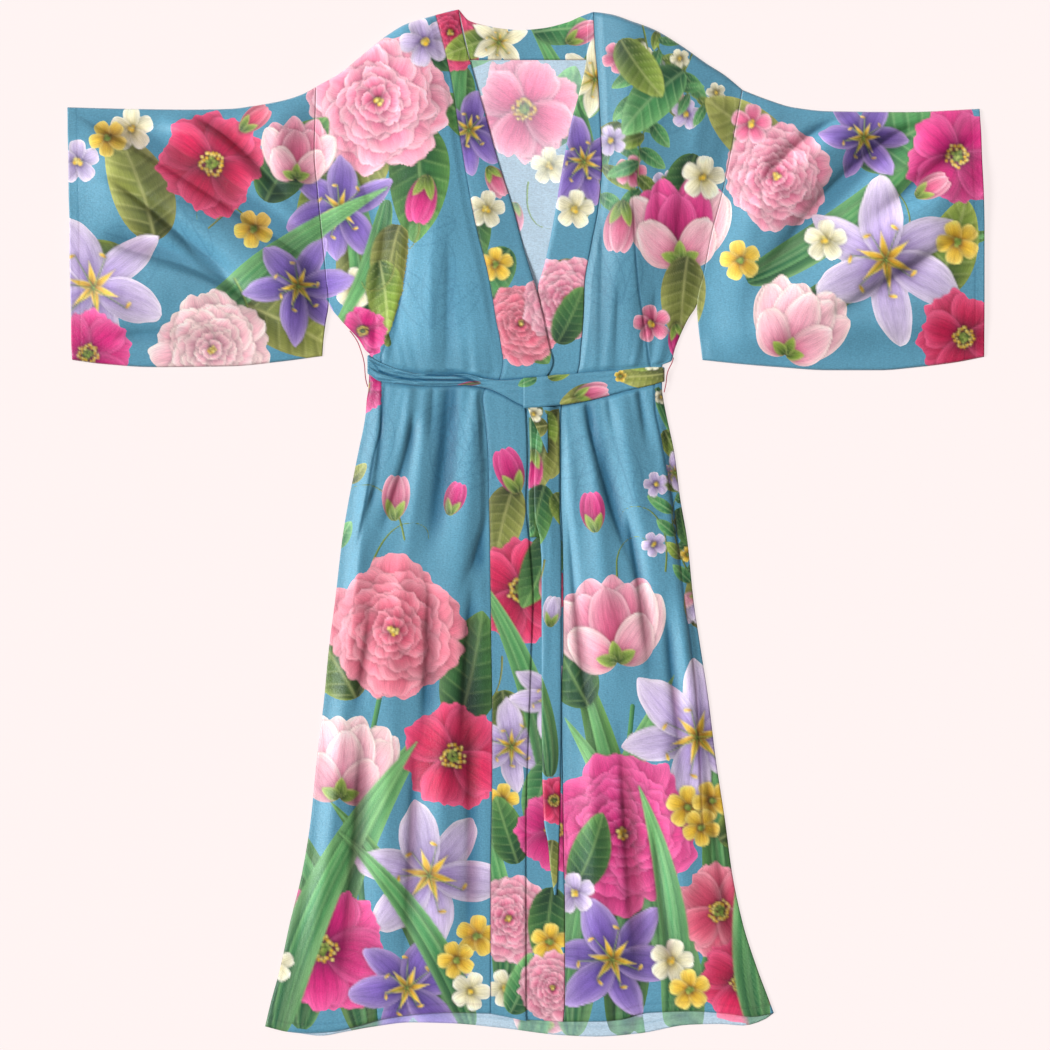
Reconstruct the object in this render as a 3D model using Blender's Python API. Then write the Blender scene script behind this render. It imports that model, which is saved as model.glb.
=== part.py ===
"""A kimono robe laid flat, front up: two panels, two sleeves, the neck band and its own tied belt.

Lengths in the tables are millimetres. x runs across from the centre line and y runs up from the hem.
The finished solids are in metres, with +Z up and the origin at the middle of what rests on the floor.
"""

import bpy
import bmesh
import numpy as np
from mathutils import Matrix

METRES = 0.001
CLOTH = 1.4          # wall of a panel
BAND = 2.0           # wall of the folded neck band
SEAM_GAP = 0.4       # between two pieces that are sewn together
FRONT_LEVEL = 1.8    # underside of the front panels, just above the back
BAND_LIFT = 2.8      # how far the upper front rides up to pass over the lower band
ARMHOLE_LIFT = 0.6   # extra height of the cloth along the armhole seams
NECK_WALL = 1.4

BELT_MID_Y = 846.5   # the belt crosses the centre line at this height
BELT_SLOPE = -0.0333
BACK_BUMP = 2.3      # the back rides over the belt by this much
BACK_BUMP_HALF = 18
BACK_BUMP_END = 32
FRONT_BUMP = 2.6
FRONT_BUMP_HALF = 24
FRONT_BUMP_END = 70

SKIRT_PUFF = 5.5     # air held under the fronts below the belt
BODICE_PUFF = 4.0
HEM_PUFF = 1.6
SLEEVE_PUFF = 4.0
PUFF_FROM_Y = 40     # the air under the skirt grows over this height
PUFF_TO_Y = 560
ARMHOLE_FROM_Y = 905
ARMHOLE_TO_Y = 965
BELT_PRESS = 6       # the belt holds the folds flat this far beyond its edges
BELT_RELEASE = 38    # and they stand free from here

# Sections of the front on the viewer's left, from shoulder to hem. Columns: x and y at the side
# seam, x and y at the band seam, x and y at the band's free edge.
LEFT_SECTIONS = [
    (-266, 1206, -114, 1297, -85, 1304),
    (-267, 1164, -103, 1255, -81, 1278),
    (-268, 1122, -94, 1215, -71, 1240),
    (-264, 1075, -83, 1142, -53, 1177),
    (-259, 1024, -71, 1071, -35, 1112),
    (-255, 984, -61, 1022, -16, 1052),
    (-250, 932, -49, 976, -1, 996),
    (-235, 910, -40, 929, 14, 947),
    (-221, 895, -37, 909, 21, 921),
    (-212, 885, -33, 891, 26, 897),
    (-203, 871, -30, 872, 31, 874),
    (-198, 866, -28, 859, 35, 857),
    (-199, 835, -33, 834, 24, 834),
    (-200, 821, -52, 820, 3, 820),
    (-202, 808, -54, 808, -1, 807),
    (-203, 793, -52, 793, 0, 793),
    (-214, 735, -47, 736, 2, 736),
    (-226, 674, -46, 675, 0, 675),
    (-233, 631, -45, 631, 4, 631),
    (-242, 554, -44, 554, 9, 554),
    (-250, 492, -43, 492, 7, 492),
    (-256, 429, -42, 429, 5, 429),
    (-266, 345, -42, 345, 2, 345),
    (-273, 275, -43, 275, 0, 275),
    (-284, 208, -44, 208, 0, 208),
    (-300, 142, -44, 142, 0, 142),
    (-312, 86, -44, 90, 0, 88),
    (-323, 46, -44, 56, 0, 50),
    (-331, 13, -44, 29, 1, 20),
]

# Sections of the front on the viewer's right, whose band passes under the other one. Same columns.
RIGHT_SECTIONS = [
    (275, 1202, 85, 1301, 78, 1285),
    (268, 1164, 87, 1259, 77, 1244),
    (261, 1126, 91, 1215, 69, 1203),
    (250, 1073, 94, 1158, 57, 1158),
    (236, 1020, 96, 1107, 46, 1100),
    (228, 980, 91, 1052, 35, 1034),
    (217, 929, 81, 998, 24, 981),
    (206, 911, 74, 956, 15, 947),
    (196, 890, 73, 920, 14, 920),
    (189, 872, 71, 892, 14, 892),
    (185, 858, 69, 872, 14, 872),
    (173, 852, 68, 857, 14, 857),
    (173, 822, 62, 834, 8, 834),
    (175, 808, 49, 816, -2, 816),
    (177, 797, 45, 803, -6, 803),
    (179, 787, 44, 790, -7, 790),
    (189, 739, 44, 736, -7, 736),
    (196, 684, 44, 681, -7, 681),
    (205, 631, 46, 631, -5, 631),
    (213, 554, 47, 554, -4, 554),
    (222, 493, 47, 492, -4, 492),
    (231, 435, 44, 432, -6, 432),
    (242, 347, 46, 345, -6, 345),
    (253, 275, 47, 275, -6, 275),
    (262, 208, 48, 208, -6, 208),
    (276, 142, 49, 142, -6, 142),
    (294, 86, 49, 86, -6, 86),
    (306, 54, 49, 50, -6, 50),
    (315, 30, 47, 19, -6, 22),
]

SHOULDER_LEFT = [(-266, 1206), (-236, 1223), (-209, 1245), (-175, 1272), (-151, 1286), (-114, 1297)]
SHOULDER_RIGHT = [
    (275, 1202), (252, 1221), (230, 1235), (196, 1259), (162, 1279), (135, 1289), (108, 1298), (85, 1301),
]
HEM_LEFT = [
    (-331, 13), (-302, 6), (-278, 4), (-245, 6), (-213, 13), (-180, 22), (-134, 28), (-96, 30), (-44, 29),
]
HEM_RIGHT = [(315, 30), (287, 25), (253, 29), (209, 32), (155, 30), (118, 21), (90, 19), (47, 19)]
HEM_BACK = [
    (-331, 13), (-297, 6), (-260, 1), (-230, 6), (-197, 12), (-147, 18), (-98, 17), (-31, 11), (43, 2),
    (90, 0), (144, 4), (207, 15), (247, 16), (276, 14), (300, 20), (315, 30),
]
NECK_TOP = [
    (-85, 1304), (-72, 1290), (-56, 1285), (-31, 1280), (-8, 1278), (19, 1280), (53, 1288), (69, 1295), (85, 1301),
]
NECK_SEAM_Y = 1240
NECK_SEAM_LEFT_X = -71
NECK_SEAM_RIGHT_X = 77

# Sleeve outlines. Columns: x and y at the cuff, x and y at the armhole seam or inner edge.
LEFT_SLEEVE_SECTIONS = [
    (-582, 1180, -266, 1206),
    (-581, 1146, -267, 1164),
    (-580, 1112, -268, 1122),
    (-580, 1074, -264, 1075),
    (-579, 1034, -259, 1024),
    (-579, 1000, -255, 984),
    (-578, 956, -250, 932),
    (-577, 914, -254, 905),
    (-577, 885, -257, 880),
    (-576, 859, -258, 864),
]
RIGHT_SLEEVE_SECTIONS = [
    (576, 1178, 275, 1202),
    (578, 1144, 268, 1164),
    (579, 1110, 261, 1126),
    (581, 1068, 250, 1073),
    (582, 1022, 236, 1020),
    (582, 986, 228, 980),
    (582, 946, 217, 929),
    (582, 914, 219, 900),
    (582, 888, 222, 876),
    (582, 863, 224, 859),
]
LEFT_SLEEVE_TOP = [
    (-582, 1180), (-506, 1178), (-425, 1177), (-376, 1178), (-344, 1182), (-311, 1188), (-285, 1196), (-266, 1206),
]
LEFT_SLEEVE_FOOT = [(-576, 859), (-538, 854), (-473, 850), (-376, 851), (-311, 857), (-258, 864)]
RIGHT_SLEEVE_TOP = [(576, 1178), (482, 1174), (385, 1175), (339, 1180), (306, 1190), (275, 1202)]
RIGHT_SLEEVE_FOOT = [
    (582, 863), (546, 856), (498, 850), (449, 846), (385, 846), (320, 850), (271, 854), (224, 859),
]

# Folds of each piece. Columns: x and y at the start, middle and end, height, half width.
# A ridge has a positive height and a trough a negative one.
LEFT_FOLDS = [
    (-185, 830, -188, 752, -217, 625, -5.0, 9),
    (-186, 697, -204, 658, -217, 609, -3.0, 9),
    (-155, 796, -170, 736, -175, 658, -4.0, 10),
    (-115, 832, -113, 752, -137, 651, -4.5, 10),
    (-48, 726, -71, 650, -87, 586, -3.0, 12),
    (-170, 815, -180, 720, -195, 554, 4.0, 13),
    (-134, 808, -145, 720, -160, 504, 4.5, 15),
    (-84, 808, -94, 707, -122, 504, 4.0, 18),
    (-236, 427, -255, 237, -287, 34, 2.5, 30),
    (-166, 427, -179, 237, -192, 46, -2.0, 28),
    (-109, 427, -111, 237, -119, 46, 2.5, 28),
    (-148, 1062, -151, 986, -185, 864, 5.0, 12),
    (-168, 1040, -176, 980, -204, 893, -2.5, 12),
    (-111, 959, -111, 897, -111, 844, -3.0, 9),
    (-84, 935, -81, 884, -81, 846, -2.5, 8),
    (-141, 897, -144, 872, -147, 849, -2.5, 8),
    (-96, 950, -97, 900, -96, 850, 3.0, 8),
]
RIGHT_FOLDS = [
    (60, 787, 111, 672, 158, 436, -5.0, 9),
    (153, 807, 173, 624, 198, 465, -3.5, 8),
    (163, 801, 187, 670, 196, 559, -3.0, 7),
    (94, 808, 135, 681, 181, 453, 5.0, 14),
    (71, 745, 94, 605, 126, 402, 4.0, 16),
    (170, 402, 196, 224, 234, 46, 3.0, 30),
    (120, 377, 132, 199, 145, 46, -2.0, 25),
    (82, 377, 88, 199, 94, 34, 2.5, 25),
    (132, 1189, 132, 1075, 131, 976, 3.0, 10),
    (169, 1099, 169, 1062, 168, 1027, 2.5, 9),
    (120, 922, 113, 878, 109, 849, -3.0, 9),
    (158, 910, 151, 878, 145, 851, -2.5, 8),
    (134, 950, 131, 900, 127, 850, 3.0, 10),
    (100, 950, 98, 900, 98, 850, 3.0, 9),
]
LEFT_SLEEVE_FOLDS = [
    (-561, 1174, -465, 1126, -296, 993, -4.0, 16),
    (-553, 1145, -465, 1081, -299, 948, 3.0, 22),
    (-541, 935, -426, 948, -299, 910, 3.0, 30),
]
RIGHT_SLEEVE_FOLDS = [
    (494, 1144, 412, 1094, 297, 948, -3.5, 18),
    (551, 1062, 463, 999, 348, 897, 3.5, 26),
    (520, 900, 420, 905, 300, 890, 2.0, 24),
]

# The belt from the knot round the left side, under the back and round the right side to the knot.
# Columns: x and z of the inner face, x and z of the outer face, y of the top and bottom edges,
# height of the gathered strands.
BELT_SECTIONS = [
    (-1.8, 9.7, -1.8, 11.7, 835, 800, 0.6),
    (-14, 9.7, -14, 11.7, 834, 806, 1.0),
    (-30, 9.7, -30, 11.7, 833, 815, 1.2),
    (-50, 9.6, -50, 11.6, 835, 823, 1.2),
    (-78, 9.2, -78, 11.2, 841, 827, 1.2),
    (-104, 8.6, -104, 10.6, 841, 826, 1.2),
    (-130, 8.0, -130, 10.0, 841, 826, 1.2),
    (-164, 7.0, -164, 9.0, 848, 829, 1.2),
    (-186, 6.4, -186, 8.4, 857, 832, 1.0),
    (-199.3, 6.4, -200.3, 8.0, 865, 841, 0.4),
    (-199.7, 4.2, -201.6, 4.2, 865, 841, 0.0),
    (-199.3, 2.0, -200.3, 0.4, 865, 841, 0.0),
    (-186, 2.0, -186, 0.0, 867, 839, 0.0),
    (-100, 2.0, -100, 0.0, 864, 836, 0.0),
    (0, 2.0, 0, 0.0, 861, 832, 0.0),
    (100, 2.0, 100, 0.0, 857, 829, 0.0),
    (162, 2.0, 162, 0.0, 854, 828, 0.0),
    (173.9, 2.0, 174.6, 0.4, 850, 831, 0.0),
    (174.6, 4.2, 176.4, 4.2, 850, 831, 0.0),
    (173.5, 6.3, 174.6, 7.9, 850, 831, 0.3),
    (160, 6.4, 160, 8.4, 850, 827, 0.6),
    (129, 6.6, 129, 8.6, 847, 820, 0.6),
    (103, 6.8, 103, 8.8, 845, 813, 0.6),
    (78, 7.2, 78, 9.2, 843, 807, 0.6),
    (55, 8.6, 55, 10.6, 841, 803, 0.6),
    (38, 9.7, 38, 11.7, 840, 801, 0.6),
    (22.0, 9.7, 22.0, 11.7, 838, 799, 0.6),
]
BELT_STRANDS = (0.0, 1.0, -0.4, 1.0, 0.0)

KNOT_CENTRE = (10, 816)
KNOT_HALF = (11.2, 20.5)
KNOT_FOOT_Z = 9.7
KNOT_SIDE = 0.4      # share of its height at which it is widest
KNOT_SQUARENESS = 0.6
KNOT_TOP_Z = 15.5

# The belt's two ends. Columns: y, x of the left edge, x of the right edge, z of the underside.
SHORT_TAIL = [
    (794, 3, 21, 8.9),
    (776, 4, 22, 7.6),
    (750, 5, 22, 7.2),
    (728, 5, 18, 6.9),
    (704, 3, 15, 6.9),
    (676, 3, 15, 6.9),
    (652, 4, 16, 6.9),
    (634, 5, 17, 6.9),
]
LONG_TAIL = [
    (794, 19, 43, 11.2),
    (776, 15, 43, 9.9),
    (750, 12, 43, 9.4),
    (700, 10, 43, 9.0),
    (662, 11, 43, 9.0),
    (630, 18, 45, 8.8),
    (600, 20, 45, 6.6),
    (554, 20, 45, 4.8),
    (478, 20, 45, 4.4),
    (402, 20, 45, 4.4),
    (330, 21, 44, 4.4),
    (275, 23, 43, 4.4),
    (246, 28, 42, 4.4),
    (215, 31, 41, 4.4),
    (180, 36, 39, 4.4),
]
TAIL_WALL = 1.5

# Thread loops on the side seams that hold the belt. Columns: x, y, z.
LEFT_LOOP = [
    (-223.4, 896, 3), (-214.8, 886, 4), (-208.4, 869, 4.5), (-204.5, 854, 4.5),
    (-204, 840, 4.5), (-202.5, 831, 4), (-200.6, 825, 3),
]
RIGHT_LOOP = [
    (187.4, 862, 3), (186.6, 857, 4), (181, 847, 4.5), (178.8, 839, 4.5),
    (178.3, 831, 4.5), (177.2, 825, 4), (175.6, 818, 3),
]
THREAD_RADIUS = 0.6

# Mesh density: cells across each piece, and the longest step between two rows.
FRONT_CELLS = 16
BAND_CELLS = 3
SLEEVE_CELLS = 12
ROW_STEP = 36
EDGE_ROWS = 6

TEAL = (0.100, 0.292, 0.430)
PALE_TEAL = (0.420, 0.610, 0.730)
RED_THREAD = (0.420, 0.020, 0.060)


def clear_scene():
    for old in list(bpy.data.objects):
        bpy.data.objects.remove(old, do_unlink=True)


def smooth(value):
    """A soft step from 0 to 1."""
    t = np.clip(value, 0.0, 1.0)
    return t * t * (3.0 - 2.0 * t)


def cloth_material(name, colour, roughness):
    """A plain finish in the cloth's own colour."""
    material = bpy.data.materials.new(name)
    material.use_nodes = True
    shader = material.node_tree.nodes["Principled BSDF"]
    shader.inputs["Base Color"].default_value = (*colour, 1.0)
    shader.inputs["Roughness"].default_value = roughness
    shader.inputs["Metallic"].default_value = 0.0
    return material


def add_mesh(name, points, faces, material):
    """A named object made from points in millimetres and closed faces."""
    mesh = bpy.data.meshes.new(name)
    mesh.from_pydata([tuple(p) for p in np.asarray(points, float) * METRES], [], faces)
    bm = bmesh.new()
    bm.from_mesh(mesh)
    bmesh.ops.recalc_face_normals(bm, faces=bm.faces)
    bm.to_mesh(mesh)
    bm.free()
    mesh.shade_smooth()
    mesh.set_sharp_from_angle(angle=0.9)
    mesh.materials.append(material)
    obj = bpy.data.objects.new(name, mesh)
    bpy.context.scene.collection.objects.link(obj)
    return obj


def refine(sections):
    """Adds rows to a section table so that no step is longer than ROW_STEP."""
    table = np.array(sections, float)
    rows = [table[0]]
    for before, after in zip(table[:-1], table[1:]):
        step = max(abs(after[1] - before[1]), abs(after[3] - before[3]))
        parts = int(np.ceil(step / ROW_STEP))
        for part in range(1, parts + 1):
            rows.append(before + (after - before) * part / parts)
    return np.array(rows)


def curve_y(curve, x):
    """The height of an outline curve at x, whichever way its table runs."""
    table = np.array(sorted(curve), float)
    return np.interp(x, table[:, 0], table[:, 1])


def plan_grid(near, far, columns, top=None, foot=None):
    """Rows of plan points between two side curves, with the top and foot rows bent to their outlines."""
    share = np.asarray(columns)[None, :, None]
    grid = near[:, None, :] * (1 - share) + far[:, None, :] * share
    for curve, row, others in ((top, 0, range(EDGE_ROWS)), (foot, -1, range(-1, -EDGE_ROWS - 1, -1))):
        if curve is None:
            continue
        bend = curve_y(curve, grid[row, :, 0]) - grid[row, :, 1]
        for count, index in enumerate(others):
            grid[index, :, 1] += bend * (1 - count / EDGE_ROWS) ** 2
    return grid


def belt_distance(x, y):
    """How far a point lies from the belt's middle line."""
    return np.abs(y - (BELT_MID_Y + BELT_SLOPE * x))


def outside_belt(x, y):
    """How far a point of the front lies outside the belt's front stretch, above or below it."""
    rows = np.array(sorted(row for row in BELT_SECTIONS if row[1] > FRONT_LEVEL + CLOTH + FRONT_BUMP))
    top = np.interp(x, rows[:, 0], rows[:, 4])
    foot = np.interp(x, rows[:, 0], rows[:, 5])
    return np.maximum(np.maximum(y - top, foot - y), 0.0)


def ramp(distance, half, end, height):
    """A flat-topped rise over the belt that falls to nothing at its end."""
    return height * np.clip((end - distance) / (end - half), 0.0, 1.0)


def fold_relief(folds, x, y):
    """The sum of a piece's ridges and troughs at each point."""
    total = np.zeros_like(x)
    for x0, y0, x1, y1, x2, y2, height, half_width in folds:
        t = np.linspace(0, 1, 25)[:, None, None]
        bend_x = 2 * x1 - (x0 + x2) / 2
        bend_y = 2 * y1 - (y0 + y2) / 2
        line_x = (1 - t) ** 2 * x0 + 2 * t * (1 - t) * bend_x + t * t * x2
        line_y = (1 - t) ** 2 * y0 + 2 * t * (1 - t) * bend_y + t * t * y2
        gap = np.hypot(line_x - x, line_y - y)
        nearest = gap.argmin(axis=0)
        along = nearest / 24
        ends = smooth(along / 0.25) * smooth((1 - along) / 0.35)
        total += height * ends * np.exp(-((gap.min(axis=0) / half_width) ** 2))
    return total


def armhole_rise(y):
    """The small extra height of the cloth from the underarm up."""
    return ARMHOLE_LIFT * smooth((y - ARMHOLE_FROM_Y) / (ARMHOLE_TO_Y - ARMHOLE_FROM_Y))


def front_underside(grid, columns, folds, lift):
    """Height of a front panel's underside over its plan grid; the side seam is at column 0."""
    x, y = grid[:, :, 0], grid[:, :, 1]
    share = np.asarray(columns)[None, :] + 0 * x
    away = belt_distance(x, y)
    free = smooth((outside_belt(x, y) - BELT_PRESS) / (BELT_RELEASE - BELT_PRESS))
    free = free * smooth(share / 0.16) * smooth((1 - share) / 0.2)
    skirt = HEM_PUFF + (SKIRT_PUFF - HEM_PUFF) * smooth((y - PUFF_FROM_Y) / (PUFF_TO_Y - PUFF_FROM_Y))
    puff = np.where(y < BELT_MID_Y, skirt, BODICE_PUFF)
    relief = np.maximum(puff + fold_relief(folds, x, y), 0.0)
    armhole = armhole_rise(y)
    base = FRONT_LEVEL + ramp(away, FRONT_BUMP_HALF, FRONT_BUMP_END, FRONT_BUMP)
    return base + armhole + lift * smooth((share - 0.3) / 0.7) + free * relief


def wall_solid(name, grid, low, wall, material):
    """A closed wall of cloth over a plan grid, from its underside heights."""
    rows, columns = low.shape
    under = np.dstack([grid, low]).reshape(-1, 3)
    over = np.dstack([grid, low + wall]).reshape(-1, 3)
    count = len(under)
    faces = []
    for r in range(rows - 1):
        for c in range(columns - 1):
            a, b = r * columns + c, r * columns + c + 1
            d, e = a + columns, b + columns
            faces.append((a, b, e, d))
            faces.append((a + count, d + count, e + count, b + count))
    border = list(range(columns))
    border += [r * columns + columns - 1 for r in range(1, rows)]
    border += [(rows - 1) * columns + c for c in range(columns - 2, -1, -1)]
    border += [r * columns for r in range(rows - 2, 0, -1)]
    for here, after in zip(border, border[1:] + border[:1]):
        faces.append((here, here + count, after + count, after))
    return add_mesh(name, np.vstack([under, over]), faces, material)


def build_back(material):
    """The back panel, flat on the floor, with a notch for the neck band and a rise over the belt."""
    table = refine([(*left[:2], *right[:2]) for left, right in zip(LEFT_SECTIONS, RIGHT_SECTIONS)])
    notch = [
        (NECK_TOP[0][0] - SEAM_GAP, NECK_TOP[0][1]),
        (NECK_SEAM_LEFT_X - SEAM_GAP, NECK_SEAM_Y - SEAM_GAP),
        (NECK_SEAM_RIGHT_X + SEAM_GAP, NECK_SEAM_Y - SEAM_GAP),
        (NECK_TOP[-1][0] + SEAM_GAP, NECK_TOP[-1][1]),
    ]
    top = SHOULDER_LEFT + notch + SHOULDER_RIGHT[:-1]
    start, end = table[0, 0], table[0, 2]
    corners = [(x - start) / (end - start) for x, _ in notch]
    columns = list(np.linspace(0, corners[0], 6)) + list(np.linspace(corners[1], corners[2], 6))
    columns += list(np.linspace(corners[3], 1, 6))
    grid = plan_grid(table[:, :2], table[:, 2:], columns, top, HEM_BACK)
    low = ramp(belt_distance(grid[:, :, 0], grid[:, :, 1]), BACK_BUMP_HALF, BACK_BUMP_END, BACK_BUMP)
    return wall_solid("back", grid, low, CLOTH, material)


def build_front(name, sections, folds, shoulder, hem, lift, material):
    """One front panel, from its side seam to the band seam."""
    table = refine(sections)
    columns = np.linspace(0, 1, FRONT_CELLS + 1)
    seam = table[:, 2:4].copy()
    seam[:, 0] += SEAM_GAP / 2 * np.sign(table[0, 0])
    grid = plan_grid(table[:, :2], seam, columns, shoulder, hem)
    low = front_underside(grid, columns, folds, lift)
    return wall_solid(name, grid, low, CLOTH, material)


def build_band(name, sections, lift, material):
    """The front stretch of the neck band, from its seam to its free edge."""
    table = refine(sections)
    columns = np.linspace(0, 1, BAND_CELLS + 1)
    seam = table[:, 2:4].copy()
    seam[:, 0] -= SEAM_GAP / 2 * np.sign(table[0, 0])
    grid = plan_grid(seam, table[:, 4:6], columns)
    away = belt_distance(grid[:, :, 0], grid[:, :, 1])
    low = FRONT_LEVEL + lift + armhole_rise(grid[:, :, 1])
    low += ramp(away, FRONT_BUMP_HALF, FRONT_BUMP_END, FRONT_BUMP)
    return wall_solid(name, grid, low, BAND, material)


def build_neck_band(material):
    """The stretch of the band across the back of the neck, inner face up."""
    columns = np.linspace(0, 1, 11)
    top_x = np.interp(columns, [0, 1], [NECK_TOP[0][0], NECK_TOP[-1][0]])
    foot_x = np.interp(columns, [0, 1], [NECK_SEAM_LEFT_X, NECK_SEAM_RIGHT_X])
    top = np.column_stack([top_x, curve_y(NECK_TOP, top_x)])
    foot = np.column_stack([foot_x, np.full_like(foot_x, NECK_SEAM_Y)])
    grid = np.array([top, (top + foot) / 2, foot])
    low = np.zeros(grid.shape[:2])
    return wall_solid("neck_band", grid, low, NECK_WALL, material)


def build_sleeve(name, sections, folds, top, foot, material):
    """One sleeve as a flattened tube, closed along its top fold and its foot, open at both ends."""
    table = np.array(sections, float)
    table[:, 2] += SEAM_GAP * np.sign(table[0, 2])
    columns = np.linspace(0, 1, SLEEVE_CELLS + 1)
    grid = plan_grid(table[:, :2], table[:, 2:4], columns, top, foot)
    rows = len(table)
    inset = grid.copy()
    inset[0, :, 1] -= CLOTH
    inset[-1, :, 1] += CLOTH
    x, y = grid[:, :, 0], grid[:, :, 1]
    down = np.linspace(0, 1, rows)[:, None] + 0 * x
    share = columns[None, :] + 0 * x
    free = smooth(down / 0.22) * smooth((1 - down) / 0.22) * smooth((1 - share) / 0.25)
    free = free * (0.55 + 0.45 * smooth(share / 0.2))
    relief = np.maximum(SLEEVE_PUFF + fold_relief(folds, x, y), 0.0)
    low = FRONT_LEVEL + ARMHOLE_LIFT * smooth((1 - down) / 0.3) * smooth(share) + free * relief
    outer_top = np.dstack([grid, low + CLOTH])
    outer_foot = np.dstack([grid, 0 * low])
    inner_top = np.dstack([inset, low])
    inner_foot = np.dstack([inset, 0 * low + CLOTH])
    ring = [np.vstack([outer_top, outer_foot[::-1]]), np.vstack([inner_top, inner_foot[::-1]])]
    around, along = ring[0].shape[:2]
    points = np.vstack([r.reshape(-1, 3) for r in ring])
    shift = around * along
    faces = []
    for r in range(around):
        after = (r + 1) % around
        for c in range(along - 1):
            a, b = r * along + c, r * along + c + 1
            d, e = after * along + c, after * along + c + 1
            faces.append((a, d, e, b))
            faces.append((a + shift, b + shift, e + shift, d + shift))
        for c in (0, along - 1):
            a, d = r * along + c, after * along + c
            faces.append((a, a + shift, d + shift, d))
    return add_mesh(name, points, faces, material)


def ring_solid(name, sections, material):
    """A closed solid through a row of sections with equal point counts, capped at both ends."""
    count = len(sections[0])
    points = [p for section in sections for p in section]
    faces = [tuple(range(count)), tuple(range(len(points) - 1, len(points) - count - 1, -1))]
    for s in range(len(sections) - 1):
        for c in range(count):
            a, b = s * count + c, s * count + (c + 1) % count
            faces.append((a, b, b + count, a + count))
    return add_mesh(name, points, faces, material)


def build_belt_wrap(material):
    """The belt's one stretch from the knot round the body and back to the knot."""
    sections = []
    for in_x, in_z, out_x, out_z, top_y, foot_y, strands in BELT_SECTIONS:
        section = [(in_x, foot_y, in_z), (in_x, top_y, in_z)]
        length = np.hypot(out_x - in_x, out_z - in_z)
        for step, rise in enumerate(BELT_STRANDS):
            share = step / (len(BELT_STRANDS) - 1)
            more = strands * rise / length
            section.append((
                out_x + (out_x - in_x) * more,
                top_y + (foot_y - top_y) * share,
                out_z + (out_z - in_z) * more,
            ))
        sections.append(section)
    return ring_solid("belt_wrap", sections, material)


def build_knot(material):
    """The belt's flat knot: a low rounded pad, flat where it rests."""
    bm = bmesh.new()
    bmesh.ops.create_uvsphere(bm, u_segments=20, v_segments=12, radius=1.0)
    height = KNOT_TOP_Z - KNOT_FOOT_Z
    for vert in bm.verts:
        x, y, z = vert.co
        rise = KNOT_SIDE + (1 - KNOT_SIDE) * z ** 0.7 if z > 0 else KNOT_SIDE + KNOT_SIDE * z
        vert.co = (
            (KNOT_CENTRE[0] + KNOT_HALF[0] * np.sign(x) * abs(x) ** KNOT_SQUARENESS) * METRES,
            (KNOT_CENTRE[1] + KNOT_HALF[1] * np.sign(y) * abs(y) ** KNOT_SQUARENESS) * METRES,
            (KNOT_FOOT_Z + height * max(rise, 0.0)) * METRES,
        )
    bmesh.ops.recalc_face_normals(bm, faces=bm.faces)
    mesh = bpy.data.meshes.new("belt_knot")
    bm.to_mesh(mesh)
    bm.free()
    mesh.shade_smooth()
    mesh.materials.append(material)
    obj = bpy.data.objects.new("belt_knot", mesh)
    bpy.context.scene.collection.objects.link(obj)
    return obj


def build_tail(name, table, material):
    """One free end of the belt, lying on the fronts."""
    sections = []
    for y, left_x, right_x, z in table:
        middle = (left_x + right_x) / 2
        sections.append([
            (left_x, y, z),
            (middle, y, z),
            (right_x, y, z),
            (right_x, y, z + TAIL_WALL),
            (middle, y, z + TAIL_WALL),
            (left_x, y, z + TAIL_WALL),
        ])
    return ring_solid(name, sections, material)


def build_loop(name, route, material):
    """A thread loop as a round tube along its route."""
    curve = bpy.data.curves.new(name, "CURVE")
    curve.dimensions = "3D"
    curve.bevel_depth = THREAD_RADIUS * METRES
    curve.bevel_resolution = 2
    curve.use_fill_caps = True
    spline = curve.splines.new("POLY")
    spline.points.add(len(route) - 1)
    for point, (x, y, z) in zip(spline.points, route):
        point.co = (x * METRES, y * METRES, z * METRES, 1.0)
    curve.materials.append(material)
    obj = bpy.data.objects.new(name, curve)
    bpy.context.scene.collection.objects.link(obj)
    return obj


def centre_on_origin(objects):
    """Moves every piece so that the middle of the robe's box stands over the origin."""
    panels = [obj for obj in objects if obj.type == "MESH"]
    corners = np.array([vertex.co for panel in panels for vertex in panel.data.vertices])
    middle = (corners.min(axis=0) + corners.max(axis=0)) / 2
    shift = Matrix.Translation((-middle[0], -middle[1], -corners[:, 2].min()))
    for obj in objects:
        obj.data.transform(shift)


def main():
    clear_scene()
    cloth = cloth_material("printed_satin", TEAL, 0.45)
    wrong_side = cloth_material("satin_wrong_side", PALE_TEAL, 0.6)
    thread = cloth_material("red_thread", RED_THREAD, 0.6)
    pieces = [
        build_back(wrong_side),
        build_front("front_left", LEFT_SECTIONS, LEFT_FOLDS, SHOULDER_LEFT, HEM_LEFT, BAND_LIFT, cloth),
        build_front("front_right", RIGHT_SECTIONS, RIGHT_FOLDS, SHOULDER_RIGHT, HEM_RIGHT, 0.0, cloth),
        build_band("band_left", LEFT_SECTIONS, BAND_LIFT, cloth),
        build_band("band_right", RIGHT_SECTIONS, 0.0, cloth),
        build_neck_band(cloth),
        build_sleeve(
            "sleeve_left", LEFT_SLEEVE_SECTIONS, LEFT_SLEEVE_FOLDS, LEFT_SLEEVE_TOP, LEFT_SLEEVE_FOOT, cloth
        ),
        build_sleeve(
            "sleeve_right", RIGHT_SLEEVE_SECTIONS, RIGHT_SLEEVE_FOLDS, RIGHT_SLEEVE_TOP, RIGHT_SLEEVE_FOOT, cloth
        ),
        build_belt_wrap(cloth),
        build_knot(cloth),
        build_tail("belt_tail_short", SHORT_TAIL, cloth),
        build_tail("belt_tail_long", LONG_TAIL, cloth),
        build_loop("loop_left", LEFT_LOOP, thread),
        build_loop("loop_right", RIGHT_LOOP, thread),
    ]
    centre_on_origin(pieces)


main()
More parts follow.
